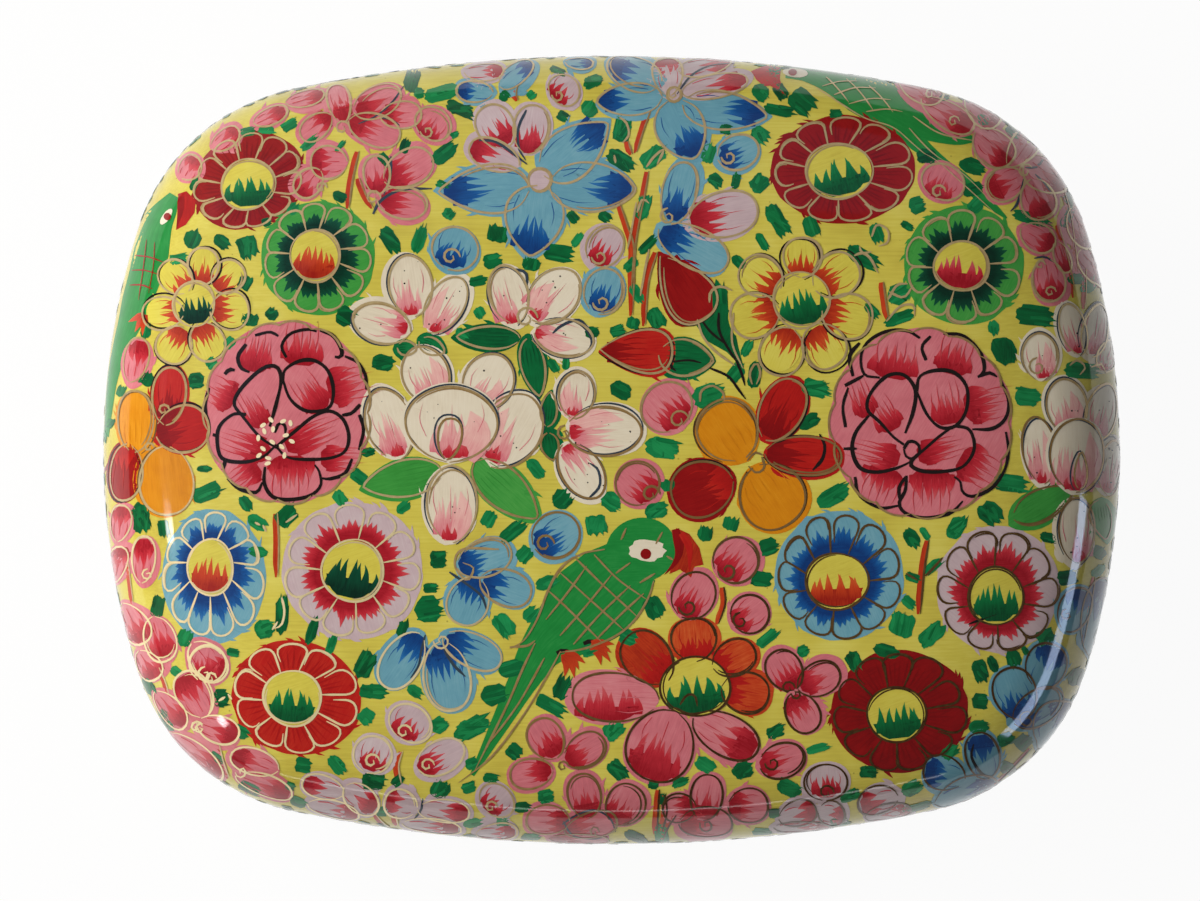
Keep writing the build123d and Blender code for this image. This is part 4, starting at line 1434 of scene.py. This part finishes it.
darkStrokes = [
    # paint, then width and points
    ("slateLine", [(0.35, [(9.8, 54), (12, 56), (15, 57.4), (18.4, 57.8)]), (0.4, [(-24.2, -18.2),
        (-21.6, -20), (-19.4, -21.8), (-18.6, -24)]), (0.4, [(-27.8, -27.6), (-28.4, -30), (-28.8, -32.2),
        (-30, -34)]), (0.4, [(-25, -29.8), (-23.6, -32), (-21.8, -33.8)]), (0.35, [(-37.8, 48.8), (-35, 50),
        (-32.6, 52), (-31, 54.4)]), (0.35, [(-34.6, 49.6), (-33, 49.3), (-31.6, 48.4)]), (0.45,
        [(-35.6, 35.2), (-34.4, 37.2), (-31.4, 38.8), (-26.8, 39)]), (0.4, [(-32.9, 43.8), (-33, 41),
        (-34, 38)]), (0.4, [(-19.8, 46.2), (-17.4, 46), (-15.2, 44.6), (-12.6, 42.6)]), (0.4,
        [(-12.7, 50.7), (-13.9, 48), (-13.8, 45), (-12.8, 43.2)]), (0.35, [(62.2, 42.6), (63.6, 42.4),
        (65, 44.4)]), (0.4, [(61.6, 40.8), (61, 38.4), (60.4, 36.6), (59.5, 35.6)]), (0.35, [(63.2, 41.2),
        (64.4, 40), (65.6, 38.4)]), (0.35, [(-7.4, -55.8), (-5.4, -54.6), (-2.6, -53.9), (-0.2, -55),
        (0.6, -57)]), (0.35, [(-7.2, -55.8), (-5.8, -57.4), (-3, -58), (-0.6, -57.6)]), (0.35,
        [(-29.4, -55), (-28.4, -53.6), (-28.2, -52.2)]), (0.35, [(63, 28.6), (64.6, 28.8), (66, 28)])]),
    ("inkLine", [(0.45, [(16, 20.5), (16, 18), (17, 15.8), (19.2, 12.4)]), (0.35, [(13.4, 19.4),
        (14.8, 17.6), (17, 15.8)]), (0.4, [(14.5, 12.3), (17.4, 11), (18.8, 9.2), (20, 7.6)]), (0.4,
        [(18.6, 13.4), (19.4, 11.4), (19.9, 9.6)]), (0.45, [(9.4, 14.2), (8.8, 12.6), (9.6, 11.8)]), (0.35,
        [(9.2, 13.2), (11.6, 13.4), (13.4, 13)]), (0.5, [(31, 2.4), (31.8, 0.6), (31.4, -1.4), (30, -3)]),
        (0.45, [(6, 18.2), (8, 17.4), (9.4, 15.6)]), (0.4, [(57.5, -24.5), (54.8, -25.4), (53.2, -26)]),
        (0.4, [(54.2, -44.2), (53.8, -46), (55, -48), (56.6, -49.2)])]),
    ("slateLine", [(0.4, [(-3.2, -2), (-2, -3), (-1.8, -5.4), (-3.6, -7.4)]), (0.4, [(-14.4, 27),
        (-12.8, 26.4), (-12.6, 24.4)]), (0.4, [(-8.8, 17.4), (-7.4, 18.6), (-5, 19.4), (-3.4, 18.2)])]),
]
giltStrokes = [
    [(12.8, 19.5), (13.6, 17), (15.4, 14.8), (18.4, 12.6)], [(18.2, 20.5), (18, 16), (19.6, 12.2)],
    [(14.6, 22), (14.8, 23.6), (16.2, 24.4), (18, 23.8)], [(1.2, 49.6), (2.2, 48.8), (2.6, 47),
    (1.6, 45.8)], [(0.4, 44), (0.6, 42.8)], [(5.2, 42.2), (6.4, 43.8), (7.8, 44.8), (6.8, 42.6)],
    [(3.8, 35.4), (4.6, 37.4), (5.6, 36.8)], [(3.7, 37), (3, 33), (2.4, 30)], [(4.3, 23), (5, 27),
    (5.6, 30)], [(13.2, 7.2), (13.4, 8.8), (15, 9.6), (16.6, 8.6), (16.8, 7.4)], [(21, 9.8), (20.6, 11.4),
    (21.6, 13), (22.2, 11.4), (21.6, 9.8)], [(-16.8, -14.8), (-22.2, -14.8), (-23.4, -17.2), (-21.6, -19.4),
    (-20.6, -17.6), (-22.2, -16.8)], [(36.2, 29), (37.4, 29.4), (38.6, 28.6), (39.8, 26.4)], [(37, 30.4),
    (37.4, 29.4), (38.8, 29.6)], [(38.8, 31.8), (39.6, 33.6), (41.2, 32.8), (41.2, 31), (39.8, 30.4)],
    [(41.2, 22.4), (42.6, 24.6), (44.2, 24.8)], [(41.4, 23.6), (43.6, 22.8), (45, 24.6)], [(41, 19.2),
    (43, 21.4), (45, 21.6), (45.2, 20)], [(-53.2, -10.8), (-52.4, -11.2)], [(-52, -11.2), (-51.5, -12.2)],
    [(-48.6, -10.8), (-46.9, -9.6)], [(-49.2, -22), (-48.8, -24), (-49.2, -26), (-50.2, -26.6)],
    [(-50.6, -26.8), (-49.8, -25.6)], [(46.8, -18.8), (48, -17.6), (49.4, -16)], [(43.9, -18.4),
    (45.6, -19.4)], [(68.4, 12.6), (69.4, 13.4), (70.6, 12.4), (69.8, 11.2)], [(71.8, 12.4), (73, 12.8),
    (73.6, 11.6)], [(-57.2, -36.4), (-56.6, -37.2)], [(-58.6, -37.4), (-57.6, -36.8)], [(22.4, -1),
    (22.8, -2.6), (21.6, -3.4), (20.4, -2.4)], [(20.2, -1.6), (21.4, -0.4), (22.6, -0.8)], [(10.2, -38),
    (11.2, -36.6), (12.4, -36.6), (12.8, -38.2)], [(9.4, -38.4), (11.6, -39.4), (14.2, -39)],
]
swirlsOnLid = [
    # x, y, radius, turn
    (-35.6, 37.6, 1.2, 0), (8.4, 34.8, 1.3, 90), (-12.8, 19.7, 1.8, 0), (-7, 2.5, 1.2, 90),
    (-25.3, -28.5, 1.3, 180), (-7.3, -47.2, 0.9, 0), (61.7, 41.6, 1.1, 30), (-62, -41.3, 0.9, 0),
    (26.3, -35.5, 1.1, 0), (62, -40.3, 1.3, 60), (51, 49, 0.9, 0), (47.5, 53.7, 0.9, 0),
    (63.5, 12.4, 1.4, 90), (-43.3, 39.1, 0.9, 0), (-69.2, -18.6, 0.9, 90), (-61.4, -41.6, 0.8, 60),
    (-40.2, 48, 1.2, 0), (9.2, 53.1, 1.1, 0), (63.9, 27.6, 0.8, 0), (65.4, 23.6, 0.9, 0),
    (-59.8, -34, 0.9, 0), (-55.2, -48, 0.9, 180), (-66.8, 6, 0.9, 0), (-69, 0.4, 0.8, 0),
    (14.2, -56, 1.1, 160), (27.6, -36.4, 0.8, 180), (67.9, -24.6, 0.9, 90), (-2.6, -57, 0.8, 0),
]
dabsOnLid = [
    # x, y, length, width, angle
    (-54.3, 30.2, 3.5, 3, -70), (-62.5, 31.5, 3.2, 2.4, 70), (-64.5, 28.5, 3, 1.6, 10),
    (-54.7, 25, 2.3, 2, 60), (-54, 19.5, 2, 2.6, 80), (-50.7, 20.3, 1.8, 1.8, 45), (-39.7, 20, 3, 2.8, -30),
    (-51.5, 34, 1.5, 1.2, 20), (-47.5, 36, 2.2, 1.6, 45), (-45, 45.8, 3.3, 1.3, 40),
    (-40.5, 45.3, 2.5, 0.8, 50), (-54.3, 47.5, 2.3, 1.2, 15), (-51.5, 47.8, 2.7, 1.3, 0),
    (-48, 48.5, 2.7, 1.4, 30), (-62.2, 39.7, 2.2, 1, 60), (-33, 31.3, 4.7, 2.2, -60),
    (-28.7, 31.5, 4.5, 1.8, 72), (-25, 44.2, 4.6, 2.4, 38), (-30.8, 45.3, 2.5, 1.5, 70),
    (-33.8, 43.3, 2.5, 1.4, -45), (-25, 39.5, 2.5, 1.2, -20), (-24.3, 35.2, 1.6, 1.8, 50),
    (-25.3, 53.3, 5.5, 2, 15), (-22.5, 50.8, 4.5, 1.8, -25), (-28.7, 53.3, 1.6, 1.5, 0),
    (-23.4, 47, 1.4, 0.9, 30), (-17, 32.3, 2.7, 2.9, 80), (-17.8, 28.2, 2.8, 2.1, 15),
    (-20, 25.2, 3, 1.5, 10), (-12, 27.8, 2.2, 2.7, 80), (-7.8, 29.4, 4.6, 2.5, -10),
    (-5.8, 34.8, 2, 1.5, -50), (-1, 34.8, 2, 1.6, -40), (-8, 56.6, 2.6, 1, -20), (-2.8, 55, 3, 1.7, 20),
    (-3.3, 50.9, 2.4, 2.5, 50), (-7.3, 49.8, 1.8, 1.4, -30), (-12, 53, 1.4, 1.2, 40),
    (-16, 52.8, 1.6, 1.7, -40), (1.6, 47.8, 4, 2.4, 80), (1.4, 43.2, 4.8, 2.4, -30),
    (6.3, 43.8, 4.6, 2.6, 35), (4.8, 36.3, 4.4, 1.8, 70), (5.4, 30.6, 3.5, 1.3, 45),
    (-19.7, 20.5, 1.8, 1.6, -60), (3.2, 18.9, 1.9, 1.9, 80), (-34, 13, 3.5, 2.4, -10),
    (-37.7, -4, 2.6, 1.9, -40), (-36.3, -0.3, 2.3, 1.3, 15), (-11.3, -2.8, 3.7, 1.8, -50),
    (-7.3, -7.3, 3.2, 3, 45), (0, -7.7, 3.3, 2.6, -32), (-31, -8.5, 2.6, 1.5, 40),
    (-18.3, -10.3, 2.7, 2, 60), (-14.8, -12.2, 4.8, 2, 38), (-25.8, -16.3, 2.6, 2.6, 0),
    (-13, -15.6, 2.6, 2.2, 50), (-9.7, -19.8, 3.5, 2, 20), (-27, -20.6, 2.4, 1.4, 0),
    (-2.3, -11.2, 3, 3, -80), (1.4, 8.9, 3.4, 2.5, -30), (-6.8, 13, 2.2, 1.1, 85),
    (-22.3, 17.3, 2.3, 1.6, -30), (-3, 17.5, 2.2, 1.8, 10), (0.8, 17.8, 2.2, 1.6, 20),
    (-69.5, 17.8, 2.4, 1.4, 80), (-69.3, 10.6, 2.2, 2, 60), (-62, 10.3, 2.4, 2.4, 10),
    (-59.7, 13, 1.8, 1.8, 40), (-57, 16, 2, 1.5, 45), (-73.2, 8.8, 1.8, 1.1, 70),
    (-70.2, -10.2, 5, 2.4, -88), (-60.3, -6.3, 5, 2.4, 22), (-60.7, -2.8, 2.3, 1, 0),
    (-66.8, -11.8, 2.7, 1.7, -80), (-52.8, -10.8, 3.3, 2, -30), (-48.5, -9.8, 4, 2.6, 40),
    (-52.7, -15.2, 3, 1.5, -10), (-40.5, -7.2, 2.7, 1.7, -50), (-75, 4, 1.6, 1, 60),
    (22.3, 53.4, 2.8, 2.3, -40), (28.5, 52, 4.3, 3.2, -40), (25.2, 50.6, 5, 1.6, -10),
    (17, 47.8, 2, 1.5, -10), (22.2, 47, 3, 2.3, -35), (14.5, 44.3, 3, 2, 70), (22, 39.8, 3, 2.5, 45),
    (15.5, 40.2, 2.5, 1.8, -45), (24.8, 34.2, 5.5, 2.3, -60), (29.8, 33.3, 3.3, 2.3, -70),
    (22.5, 31, 3, 1.3, -60), (19, 28, 2.7, 1.5, -45), (33.5, 50.2, 2, 1.3, 0), (47, 43.8, 3.2, 2.2, -10),
    (53.8, 42.3, 4, 2.3, -20), (54.3, 36.5, 2.5, 2, 45), (45.6, 36.5, 2.5, 2.5, 20),
    (62.6, 34.5, 6, 1.6, -18), (63.3, 20, 5.8, 3, -8), (42.8, 23.2, 3.4, 3, 30), (43, 19.7, 5, 1.8, 20),
    (37.6, 28.7, 5.6, 2.5, -30), (38.8, 20.8, 3, 1.5, -45), (39.6, 32.2, 3.4, 2, -70),
    (68.2, 35, 3.4, 1.2, 70), (71.4, 24.6, 2.6, 1.6, 60), (55.5, 49.3, 2.2, 1.2, -40),
    (60.3, 48.3, 2.4, 1.2, -40), (49.6, 53.2, 1.5, 0.9, 0), (69.2, 37.8, 2.4, 1, -60),
    (16.2, 22, 6.4, 2.4, 92), (6.7, 19.6, 3.3, 2.3, -55), (1, 17.7, 2.3, 1.5, 10), (14.4, 8, 5, 3.4, 15),
    (30.5, 9.2, 4.5, 2.6, -15), (29.5, 4.3, 3.8, 2, 25), (7.7, 0.3, 5.5, 3, -10),
    (33.2, -6.8, 5.5, 2.6, 30), (6.7, -9, 3.5, 2.3, 10), (8.3, -5.3, 2, 2.2, 80), (14, -12.5, 2.4, 2.2, 80),
    (17.8, -11, 2.2, 2.3, 70), (23.4, -14.4, 3, 2.5, 20), (22.3, -19.2, 3.3, 2.3, -10),
    (21.4, 11.4, 4.6, 2, 80), (58.5, 14.8, 4.6, 3.4, -65), (62, 8, 4, 2.8, -10), (59.6, -5, 5.5, 2.6, -8),
    (56.5, -9.5, 4, 3.2, -40), (51.5, -11.5, 4, 2.4, 60), (44.8, -13.2, 3.4, 2, -60),
    (46.8, -12.5, 2.2, 1, -55), (48, -17.3, 3.5, 1.4, 40), (45, -19, 2.5, 1.3, -20), (68, -19, 3, 2.2, 10),
    (72.8, -15.3, 2, 2, 50), (70.5, 11.9, 5.5, 2.4, -5), (43.3, -26, 4, 3.6, 80),
    (47.8, -27.5, 4.6, 2.3, 38), (41, -30, 4, 2, -15), (55, -33, 3.8, 2.2, -75), (56.9, -32, 2.8, 1.4, -65),
    (60, -31.2, 3, 2.2, -70), (61.7, -30, 1.7, 0.8, -60), (64.8, -28, 3, 2.5, 20),
    (55, -37.5, 2.7, 2.3, -10), (54.8, -41.3, 3, 2, 10), (50.5, -45, 3, 1.8, 45), (38.3, -48, 2.7, 1.7, 0),
    (44.8, -50.5, 3.5, 2, 20), (36.2, -51.3, 1.8, 1.3, 60), (45.5, -53.5, 4.5, 1, 15),
    (6.3, -23.5, 3.7, 2.7, -60), (2.5, -28, 3, 2.5, -20), (23.3, -28, 4.3, 1.6, 40),
    (28.5, -30, 2, 1.8, 20), (36.2, -31.5, 3.2, 2.2, -60), (24.5, -42, 3, 1.8, 20),
    (30.8, -44.5, 3.8, 1.3, 15), (14, -47, 3.3, 2.3, -30), (19.7, -47.7, 3.5, 2.5, 20),
    (26.5, -50.5, 3.7, 2.4, -25), (6.3, -49.8, 1.8, 1.5, 0), (10.3, -49.5, 2.8, 1.3, 20),
    (7.5, -52, 1.8, 1, 70), (3.7, -58, 3.7, 1.4, -20), (24.3, -54.2, 2, 1.3, 10), (22.5, -57.7, 3, 1, 0),
    (35.6, -51.6, 3.5, 1.5, 20), (34, -56.4, 3.5, 1.3, 10), (-67.7, -23.3, 3.6, 1.8, 80),
    (-63.7, -28, 2.7, 2.3, 60), (-56.5, -30.2, 2, 1.3, -10), (-51.8, -26.7, 3, 2.8, 0),
    (-49.2, -24.4, 6.4, 2, 88), (-44.7, -27, 4.3, 1.5, 72), (-41.8, -29, 3.3, 1.3, 70),
    (-36.7, -32, 4.6, 2.6, 65), (-58.3, -37, 2.7, 2.6, 0), (-65, -33, 1.7, 1.3, -40),
    (-55.5, -42, 3, 2, -25), (-46, -47, 2.5, 2.3, -10), (-41, -47, 3.5, 2, -50), (-36.5, -36, 2.4, 2, -10),
    (-36.6, -39.8, 2.6, 2.4, -40), (-48, -50.2, 1.7, 1.2, -20), (-54, -50.5, 4, 1.3, -25),
    (-46.7, -52.6, 2.7, 1.2, -20), (-67, -40.5, 4, 1.2, -60), (-69.8, -35.5, 3, 1.2, -60),
    (-59, -46, 2.7, 1.2, -40), (-27.2, -23.7, 4.4, 3.8, 10), (-31.2, -26.7, 3, 1.5, 75),
    (-35, -36, 3.5, 2.3, -5), (-16, -26.2, 4.2, 2.6, -50), (-12, -24.5, 2.7, 2.2, 45),
    (-15, -32.6, 4, 2.4, 15), (-17.5, -36.5, 4, 3, 15), (-20.7, -41.3, 6.2, 2.8, 30),
    (-25.7, -41, 2.8, 2.3, 30), (-7.3, -35.5, 4, 2.6, 65), (-9, -38.2, 5, 2, -30),
    (-14.5, -45, 2.6, 2.4, -40), (-9.8, -51.7, 2.7, 2.2, 10), (0.3, -41.8, 3.5, 2.7, 40),
    (1, -47.8, 3.6, 2.3, -48), (-13.3, -53.3, 2.7, 1.5, 0), (-18, -49, 2.5, 1.5, -10),
    (-21.3, -50.3, 2.3, 1.6, 20), (-20.8, -46.7, 2.2, 1.8, 20), (-25.5, -50.7, 3, 2.7, 60),
    (-35.5, -49.5, 3.8, 2.4, -5), (-20.7, -55.7, 3, 1.2, 5), (-16.2, -55.5, 2.3, 1.2, 0),
    (-34.3, -54, 1.7, 1.3, 0), (-12, -58.2, 3, 0.9, 0),
]


def clearOf(places, discs):
    # how far each place is from the nearest round place that is painted
    away = np.hypot(places[:, :1] - discs[:, 0], places[:, 1:2] - discs[:, 1]) - discs[:, 2]
    return away.min(axis=1)


def fillGaps(low, high, tries, size):
    # smaller dabs wherever the ground still shows between the flowers
    places = vary(low, high, (tries, 2))
    discs = np.array(taken[brush["side"]])
    if brush["side"] == "lid":
        places = places[rimInset(*places.T)[0] > 0.8]
    else:
        # on the shoulder the dabs keep clear of what the top's pattern already covers
        above = clearOf(onWall(places, np.zeros(tries))[0], np.array(taken["lid"]))
        places = places[(places[:, 1] < skirtTop) | (above > 0.4)]
        discs = np.vstack([discs + (turn * wallLength, 0, 0) for turn in (-1, 0, 1)])
    parts = np.array_split(discs, 1 + len(discs) // 200)
    room = np.min([clearOf(places, part) for part in parts], axis=0)
    for k, (x, y) in enumerate(places):
        if room[k] > size[0]:
            length = min(room[k] * 2.1, size[1]) * vary(0.8, 1.05)
            leafDab(x, y, length, length * vary(0.45, 0.7), vary(-80, 80))
            room = np.minimum(room, clearOf(places, np.array(taken[brush["side"]][-3:])))


def paintTop():
    brush["side"] = "lid"
    for flower in daisiesOnLid:
        daisy(*flower)
    for look, petals in flowersOnLid:
        for x, y, length, width, angle, *tip in petals:
            petal(look, x, y, length, width, angle, **({"tip": tip[0]} if tip else {}))
    for raised, petals in ((0.0, creamOnLid), (stack["front"], creamInFront)):
        brush["raised"] = raised
        for petalOfCream in petals:
            creamPetal(*petalOfCream)
    brush["raised"] = 0.0
    for budPlace in budsOnLid:
        bud(*budPlace)
    peony(-48.4, 5.6, 12.4, 13.5, **peonyLeft)
    peony(46.1, 4.0, 13.5, 14.1, **peonyRight)
    for x, y, length, width, angle, fill in ((10.8, 24.5, 11.5, 7.6, -55, "darkRed"),
                                             (3.5, 14.7, 10.8, 6.6, 0, "scarlet")):
        petal("red", x, y, length, width, angle, base=0.95, tip=0.42, fill=fill, hairs=6)
    patch("leafGreen", [(10.2, 20.8), (12.5, 18.8), (14.2, 16.3), (17.2, 14.6), (19.8, 12),
                        (18.9, 15.5), (18.4, 18), (17.8, 20.6), (16.5, 21.8), (15.5, 20.6),
                        (14, 20.4), (12.8, 21.3)], (16, 18), "fill", 60, tone=0.3)
    occupy(15.5, 18, 8, 4, -45)
    petal("pink", 0.5, -36.8, 13, 7.3, 178, flame=None)
    blush(-0.6, -37.6, 6, 10.5, 92, 8)
    core(12.5, -35.3, 5.1, 4.3, "leafGreen")
    core(28.3, 22.4, 4.1, 4.1, "leafGreen")
    core(-62.3, 21.8, 3, 3.3, "darkGreen", -10)
    parrot(parrotInMiddle)
    for x, y, lean in ((-7, -30.4, -20), (-3, -29, 5)):
        blade("inkLine", [(x - 1.2, y + 0.1), (x, y + 0.5), (x + 1.8, y)], 0.7)
        for angle, run in ((-70, 3.4), (-48, 3.9), (-28, 3.2), (-5, 3.4)):
            toe(x, y, angle + lean, (run * 0.5, run * 0.5, 0.3, 0.2), (run, run), 1.5, (0.25, 0.5))
    parrot(parrotAbove)
    parrot(parrotAtLeft)
    for angle in (200, 235, 262):
        toe(-69.6, 20.2, angle, (1.4, 1.6, 0, 0), (2.6, 3.2), 1.2, (0.15, 0.75))
    brush["raised"] = stack["front"]
    for shape, width in (((-24.3, 1.7, 6.2, 3.6, 84, 0.6, 0.4), 0.4),
                         ((69.8, -3.2, 5.6, 1.9, 90, 0.5, 0.8), 0.36)):
        loop("goldLine", shape, width, tone=0.5)
        loop("slateLine", shape, width * 0.8, layer="shadow", grow=0.3)
    brush["raised"] = 0.0
    for x, y, radius in ((-10.7, 40.3, 1.7), (9.3, 53, 1.1)):
        oval("palePink", x, y, radius, radius, layer="streak")
        ring(x, y, radius, radius, 0.6)
    for points in stemsOnLid:
        stem(points)
    for dab in dabsOnLid:
        leafDab(*dab)
    for paint, strokes in darkStrokes:
        for width, points in strokes:
            keepNear(*np.mean(points, axis=0))
            ribbon(paint, points, width, "shadow")
    for points in giltStrokes:
        keepNear(*np.mean(points, axis=0))
        # each bronze line takes the painted light and shade of the place where it starts
        ribbon("goldLine", points, 0.36, tone=paintedLightAndToneAt(*points[0]))
    for x, y, radius, turn in swirlsOnLid:
        keepNear(x, y)
        swirl(x, y, radius, 1.15, turn, 0.34, paintedLightAndToneAt(x, y))
    brush["inset"] = None
    fillGaps((-75, -58), (75, 58), 2600, (1.25, 3.2))


def petalOut(look, x, y, reach, angle, length, width, **changes):
    # a petal that points away from the middle of its flower
    petal(look, *turned((x, y), reach, 0, angle), length, width, angle, **changes)


def blossom(look, x, y, radius, petals, start, tip):
    # open petals round a small bead
    for k in range(petals):
        angle = start + k * 360 / petals + vary(-5, 5)
        petalOut(look, x, y, 0.56 * radius, angle, radius * vary(0.9, 1.0),
                 radius * 3.6 / petals, tip=tip)
    oval("palePink", x, y, radius * 0.15, radius * 0.15, layer="streak")
    ring(x, y, radius * 0.16, radius * 0.16, paintedLightAndToneAt(x, y), 0.32)


def sunFlower(x, y, radius):
    for k in range(7):
        petalOut("sun", x, y, 0.68 * radius, 12 + k * 360 / 7, radius * 0.66, radius * 0.62)
    core(x, y, radius * 0.42, radius * 0.42, "leafGreen")


def lotus(x, y, radius):
    # a white flower seen from the side, on two leaves
    for dx, dy, length, width, angle in ((0, 0.05, 1.15, 1.0, 90), (-0.5, 0.5, 0.85, 0.62, 120),
                                         (0.5, 0.5, 0.85, 0.62, 60), (-0.85, 0, 1.1, 0.68, 120),
                                         (0.85, 0, 1.1, 0.68, 60)):
        creamPetal(x + dx * radius, y + dy * radius, length * radius, width * radius, angle)
    for sign in (-1, 1):
        petal("leaf", x + sign * 0.8 * radius, y - 0.75 * radius, 1.1 * radius, 0.5 * radius,
              90 + sign * 115)


def roundPeony(x, y, radius):
    # the lid's left peony, moved and scaled
    scale = radius / 12.9

    def moved(points):
        return (np.array(points) - (-48.4, 5.6)) * scale + (x, y)

    peony(x, y, 0.96 * radius, 1.04 * radius,
          [(*moved(place), length * scale, width * scale, angle)
           for *place, length, width, angle in peonyLeft["blushes"]],
          [moved(line) for line in peonyLeft["lines"]], moved(peonyLeft["stamens"]))


wallPattern = {
    "cells": 24,
    "radius": 7.5,          # mm, the big flowers
    "rows": [10.0, 27.4],   # mm, their middles above the table
    "order": ["peony", "blueDaisy", "redDaisy", "lotus", "paleDaisy", "blueFlower",
              "greenDaisy", "pinkFlower", "crimsonDaisy", "sun", "blueDaisy", "orangeFlower"],
    # disc, flame, heart
    "daisies": {
        "blueDaisy": ("paleBlue", "orangeRed", "deepBlue"),
        "paleDaisy": ("palePink", "darkGreen", "crimson"),
        "greenDaisy": ("lightGreen", "crimson", "darkGreen"),
        "redDaisy": ("scarlet", "leafGreen", None),
        "crimsonDaisy": ("darkRed", "leafGreen", None),
    },
    # look, size, petals, where the first points, how pointed their tips are
    "blossoms": {
        "blueFlower": ("blue", 1.04, 5, 90, 0.8),
        "pinkFlower": ("pinkHeart", 1, 5, 55, 0.45),
        "orangeFlower": ("orange", 0.92, 4, 45, 0.45),
    },
    "bigBuds": ["pink", "pale", "blue", "pink"],
    "gold": 0.4,            # mm, the lines near the foot and the rims
    "goldParts": 24,
}


def bigFlower(kind, x, y, radius):
    if kind in wallPattern["daisies"]:
        disc, flame, heart = wallPattern["daisies"][kind]
        daisy(x, y, radius * 0.98, radius, 0, disc, hand.integers(10, 12),
              (x, y + 0.2, radius * 0.41, radius * 0.42), flame, heart, vary(0, 1))
    elif kind in wallPattern["blossoms"]:
        look, size, petals, start, tip = wallPattern["blossoms"][kind]
        blossom(look, x, y, radius * size, petals, start, tip)
    else:
        draw, size = {"peony": (roundPeony, 1.04), "sun": (sunFlower, 1), "lotus": (lotus, 0.86)}[kind]
        draw(x, y, radius * size)


def sprig(x, y, look, turn):
    # three small petals that open from one point
    for k in range(3):
        petalOut(look, x, y, 1.7, turn + 120 * k + vary(-8, 8), 3.6, 3.0, hairs=0)


def goldRound(height):
    # one line right round the box, drawn in short pulls of the brush
    stops = np.linspace(0, wallLength, wallPattern["goldParts"] + 1)
    for first, last in zip(stops[:-1], stops[1:]):
        line = np.stack([np.linspace(first, last + 0.4, 8), height + vary(-0.08, 0.08, 8)], 1)
        ribbon("goldLine", line, wallPattern["gold"], tone=0.62, step=1.1, taper=(0.8, 0.7),
               wobble=0.12)


def paintWall():
    brush["side"] = "wall"
    pitch = wallLength / wallPattern["cells"]
    low, high = wallPattern["rows"]
    order = wallPattern["order"]
    for cell in range(wallPattern["cells"]):
        x = (cell + 0.5) * pitch
        bigFlower(order[cell % len(order)], x + vary(-0.5, 0.5), low + vary(-0.4, 0.4),
                  wallPattern["radius"])
        bigFlower(order[(cell + 7) % len(order)], x + pitch / 2 + vary(-0.5, 0.5),
                  high + vary(-0.4, 0.4), wallPattern["radius"])
        # in the gaps between the two rows and along the edges: buds and sprigs
        look = wallPattern["bigBuds"][cell % 4]
        bud(look, x + pitch / 2, low + 6.2, 5.2, 5.0)
        sprig(x, high - 6.0, "pinkHeart" if cell % 2 else "paleHeart", -30)
        sprig(x + pitch / 2, 4.4, "paleHeart" if cell % 2 else "pinkHeart", 90)
        bud(wallPattern["bigBuds"][(cell + 2) % 4], x, high + 5.6, 4.8, 4.6)
    for edge in (1.1, baseHigh[2] - 1.1, lidLow[2] + 1.0):
        goldRound(edge)
    # the lid's edge: a low row of sprigs and leaves under the shoulder
    for place in np.arange(0, wallLength - 4, 9.1):
        x = place + vary(-1, 1)
        y = (lidLow[2] + skirtTop) / 2 + vary(-0.2, 0.8)
        look = ("pinkHeart", "paleHeart", "blueHeart", "pinkHeart")[hand.integers(0, 4)]
        for dx, angle in ((-1.6, 140), (1.6, 40)):
            petal(look, x + dx, y, 4.2, 3.2, angle + vary(-12, 12), hairs=0)
        leafDab(x + 4.5, y + vary(-1, 1), 3.2, 1.9, vary(-70, 70))
    fillGaps((0, 2.6), (wallLength, baseHigh[2] - 2.4), 3600, (1.2, 3.2))
    fillGaps((0, lidLow[2] + 2.2), (wallLength, skirtTop + 4.2), 2400, (1.1, 2.6))


paintTop()
print("top is painted")
paintWall()
print("wall is painted")


def hangPaint():
    # one piece for each paint on each body
    for (body, paint), book in paintBook.items():
        mesh = bpy.data.meshes.new(paint + "_" + body)
        places = np.vstack(book["places"]) * mm
        mesh.from_pydata(places, [], book["faces"])
        uv = mesh.uv_layers.new(name="brush")
        corners = np.empty(len(mesh.loops), dtype=np.int32)
        mesh.loops.foreach_get("vertex_index", corners)
        uv.data.foreach_set("uv", np.vstack(book["grain"])[corners].ravel())
        flat = mesh.uv_layers.new(name="OFBake")
        flat.data.foreach_set("uv", (np.vstack(book["sheet"]) / ground["sheetSize"])[corners].ravel())
        uv.active_render = True
        tone = mesh.attributes.new("tone", "FLOAT", "POINT")
        tone.data.foreach_set("value", np.concatenate(book["tone"]))
        mesh.polygons.foreach_set("use_smooth", np.ones(len(mesh.polygons), dtype=bool))
        mesh.materials.append(paints[paint])
        mesh.normals_split_custom_set_from_vertices(np.vstack(book["normals"]))
        piece = bpy.data.objects.new(mesh.name, mesh)
        scene.collection.objects.link(piece)
        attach(piece, body)


hangPaint()
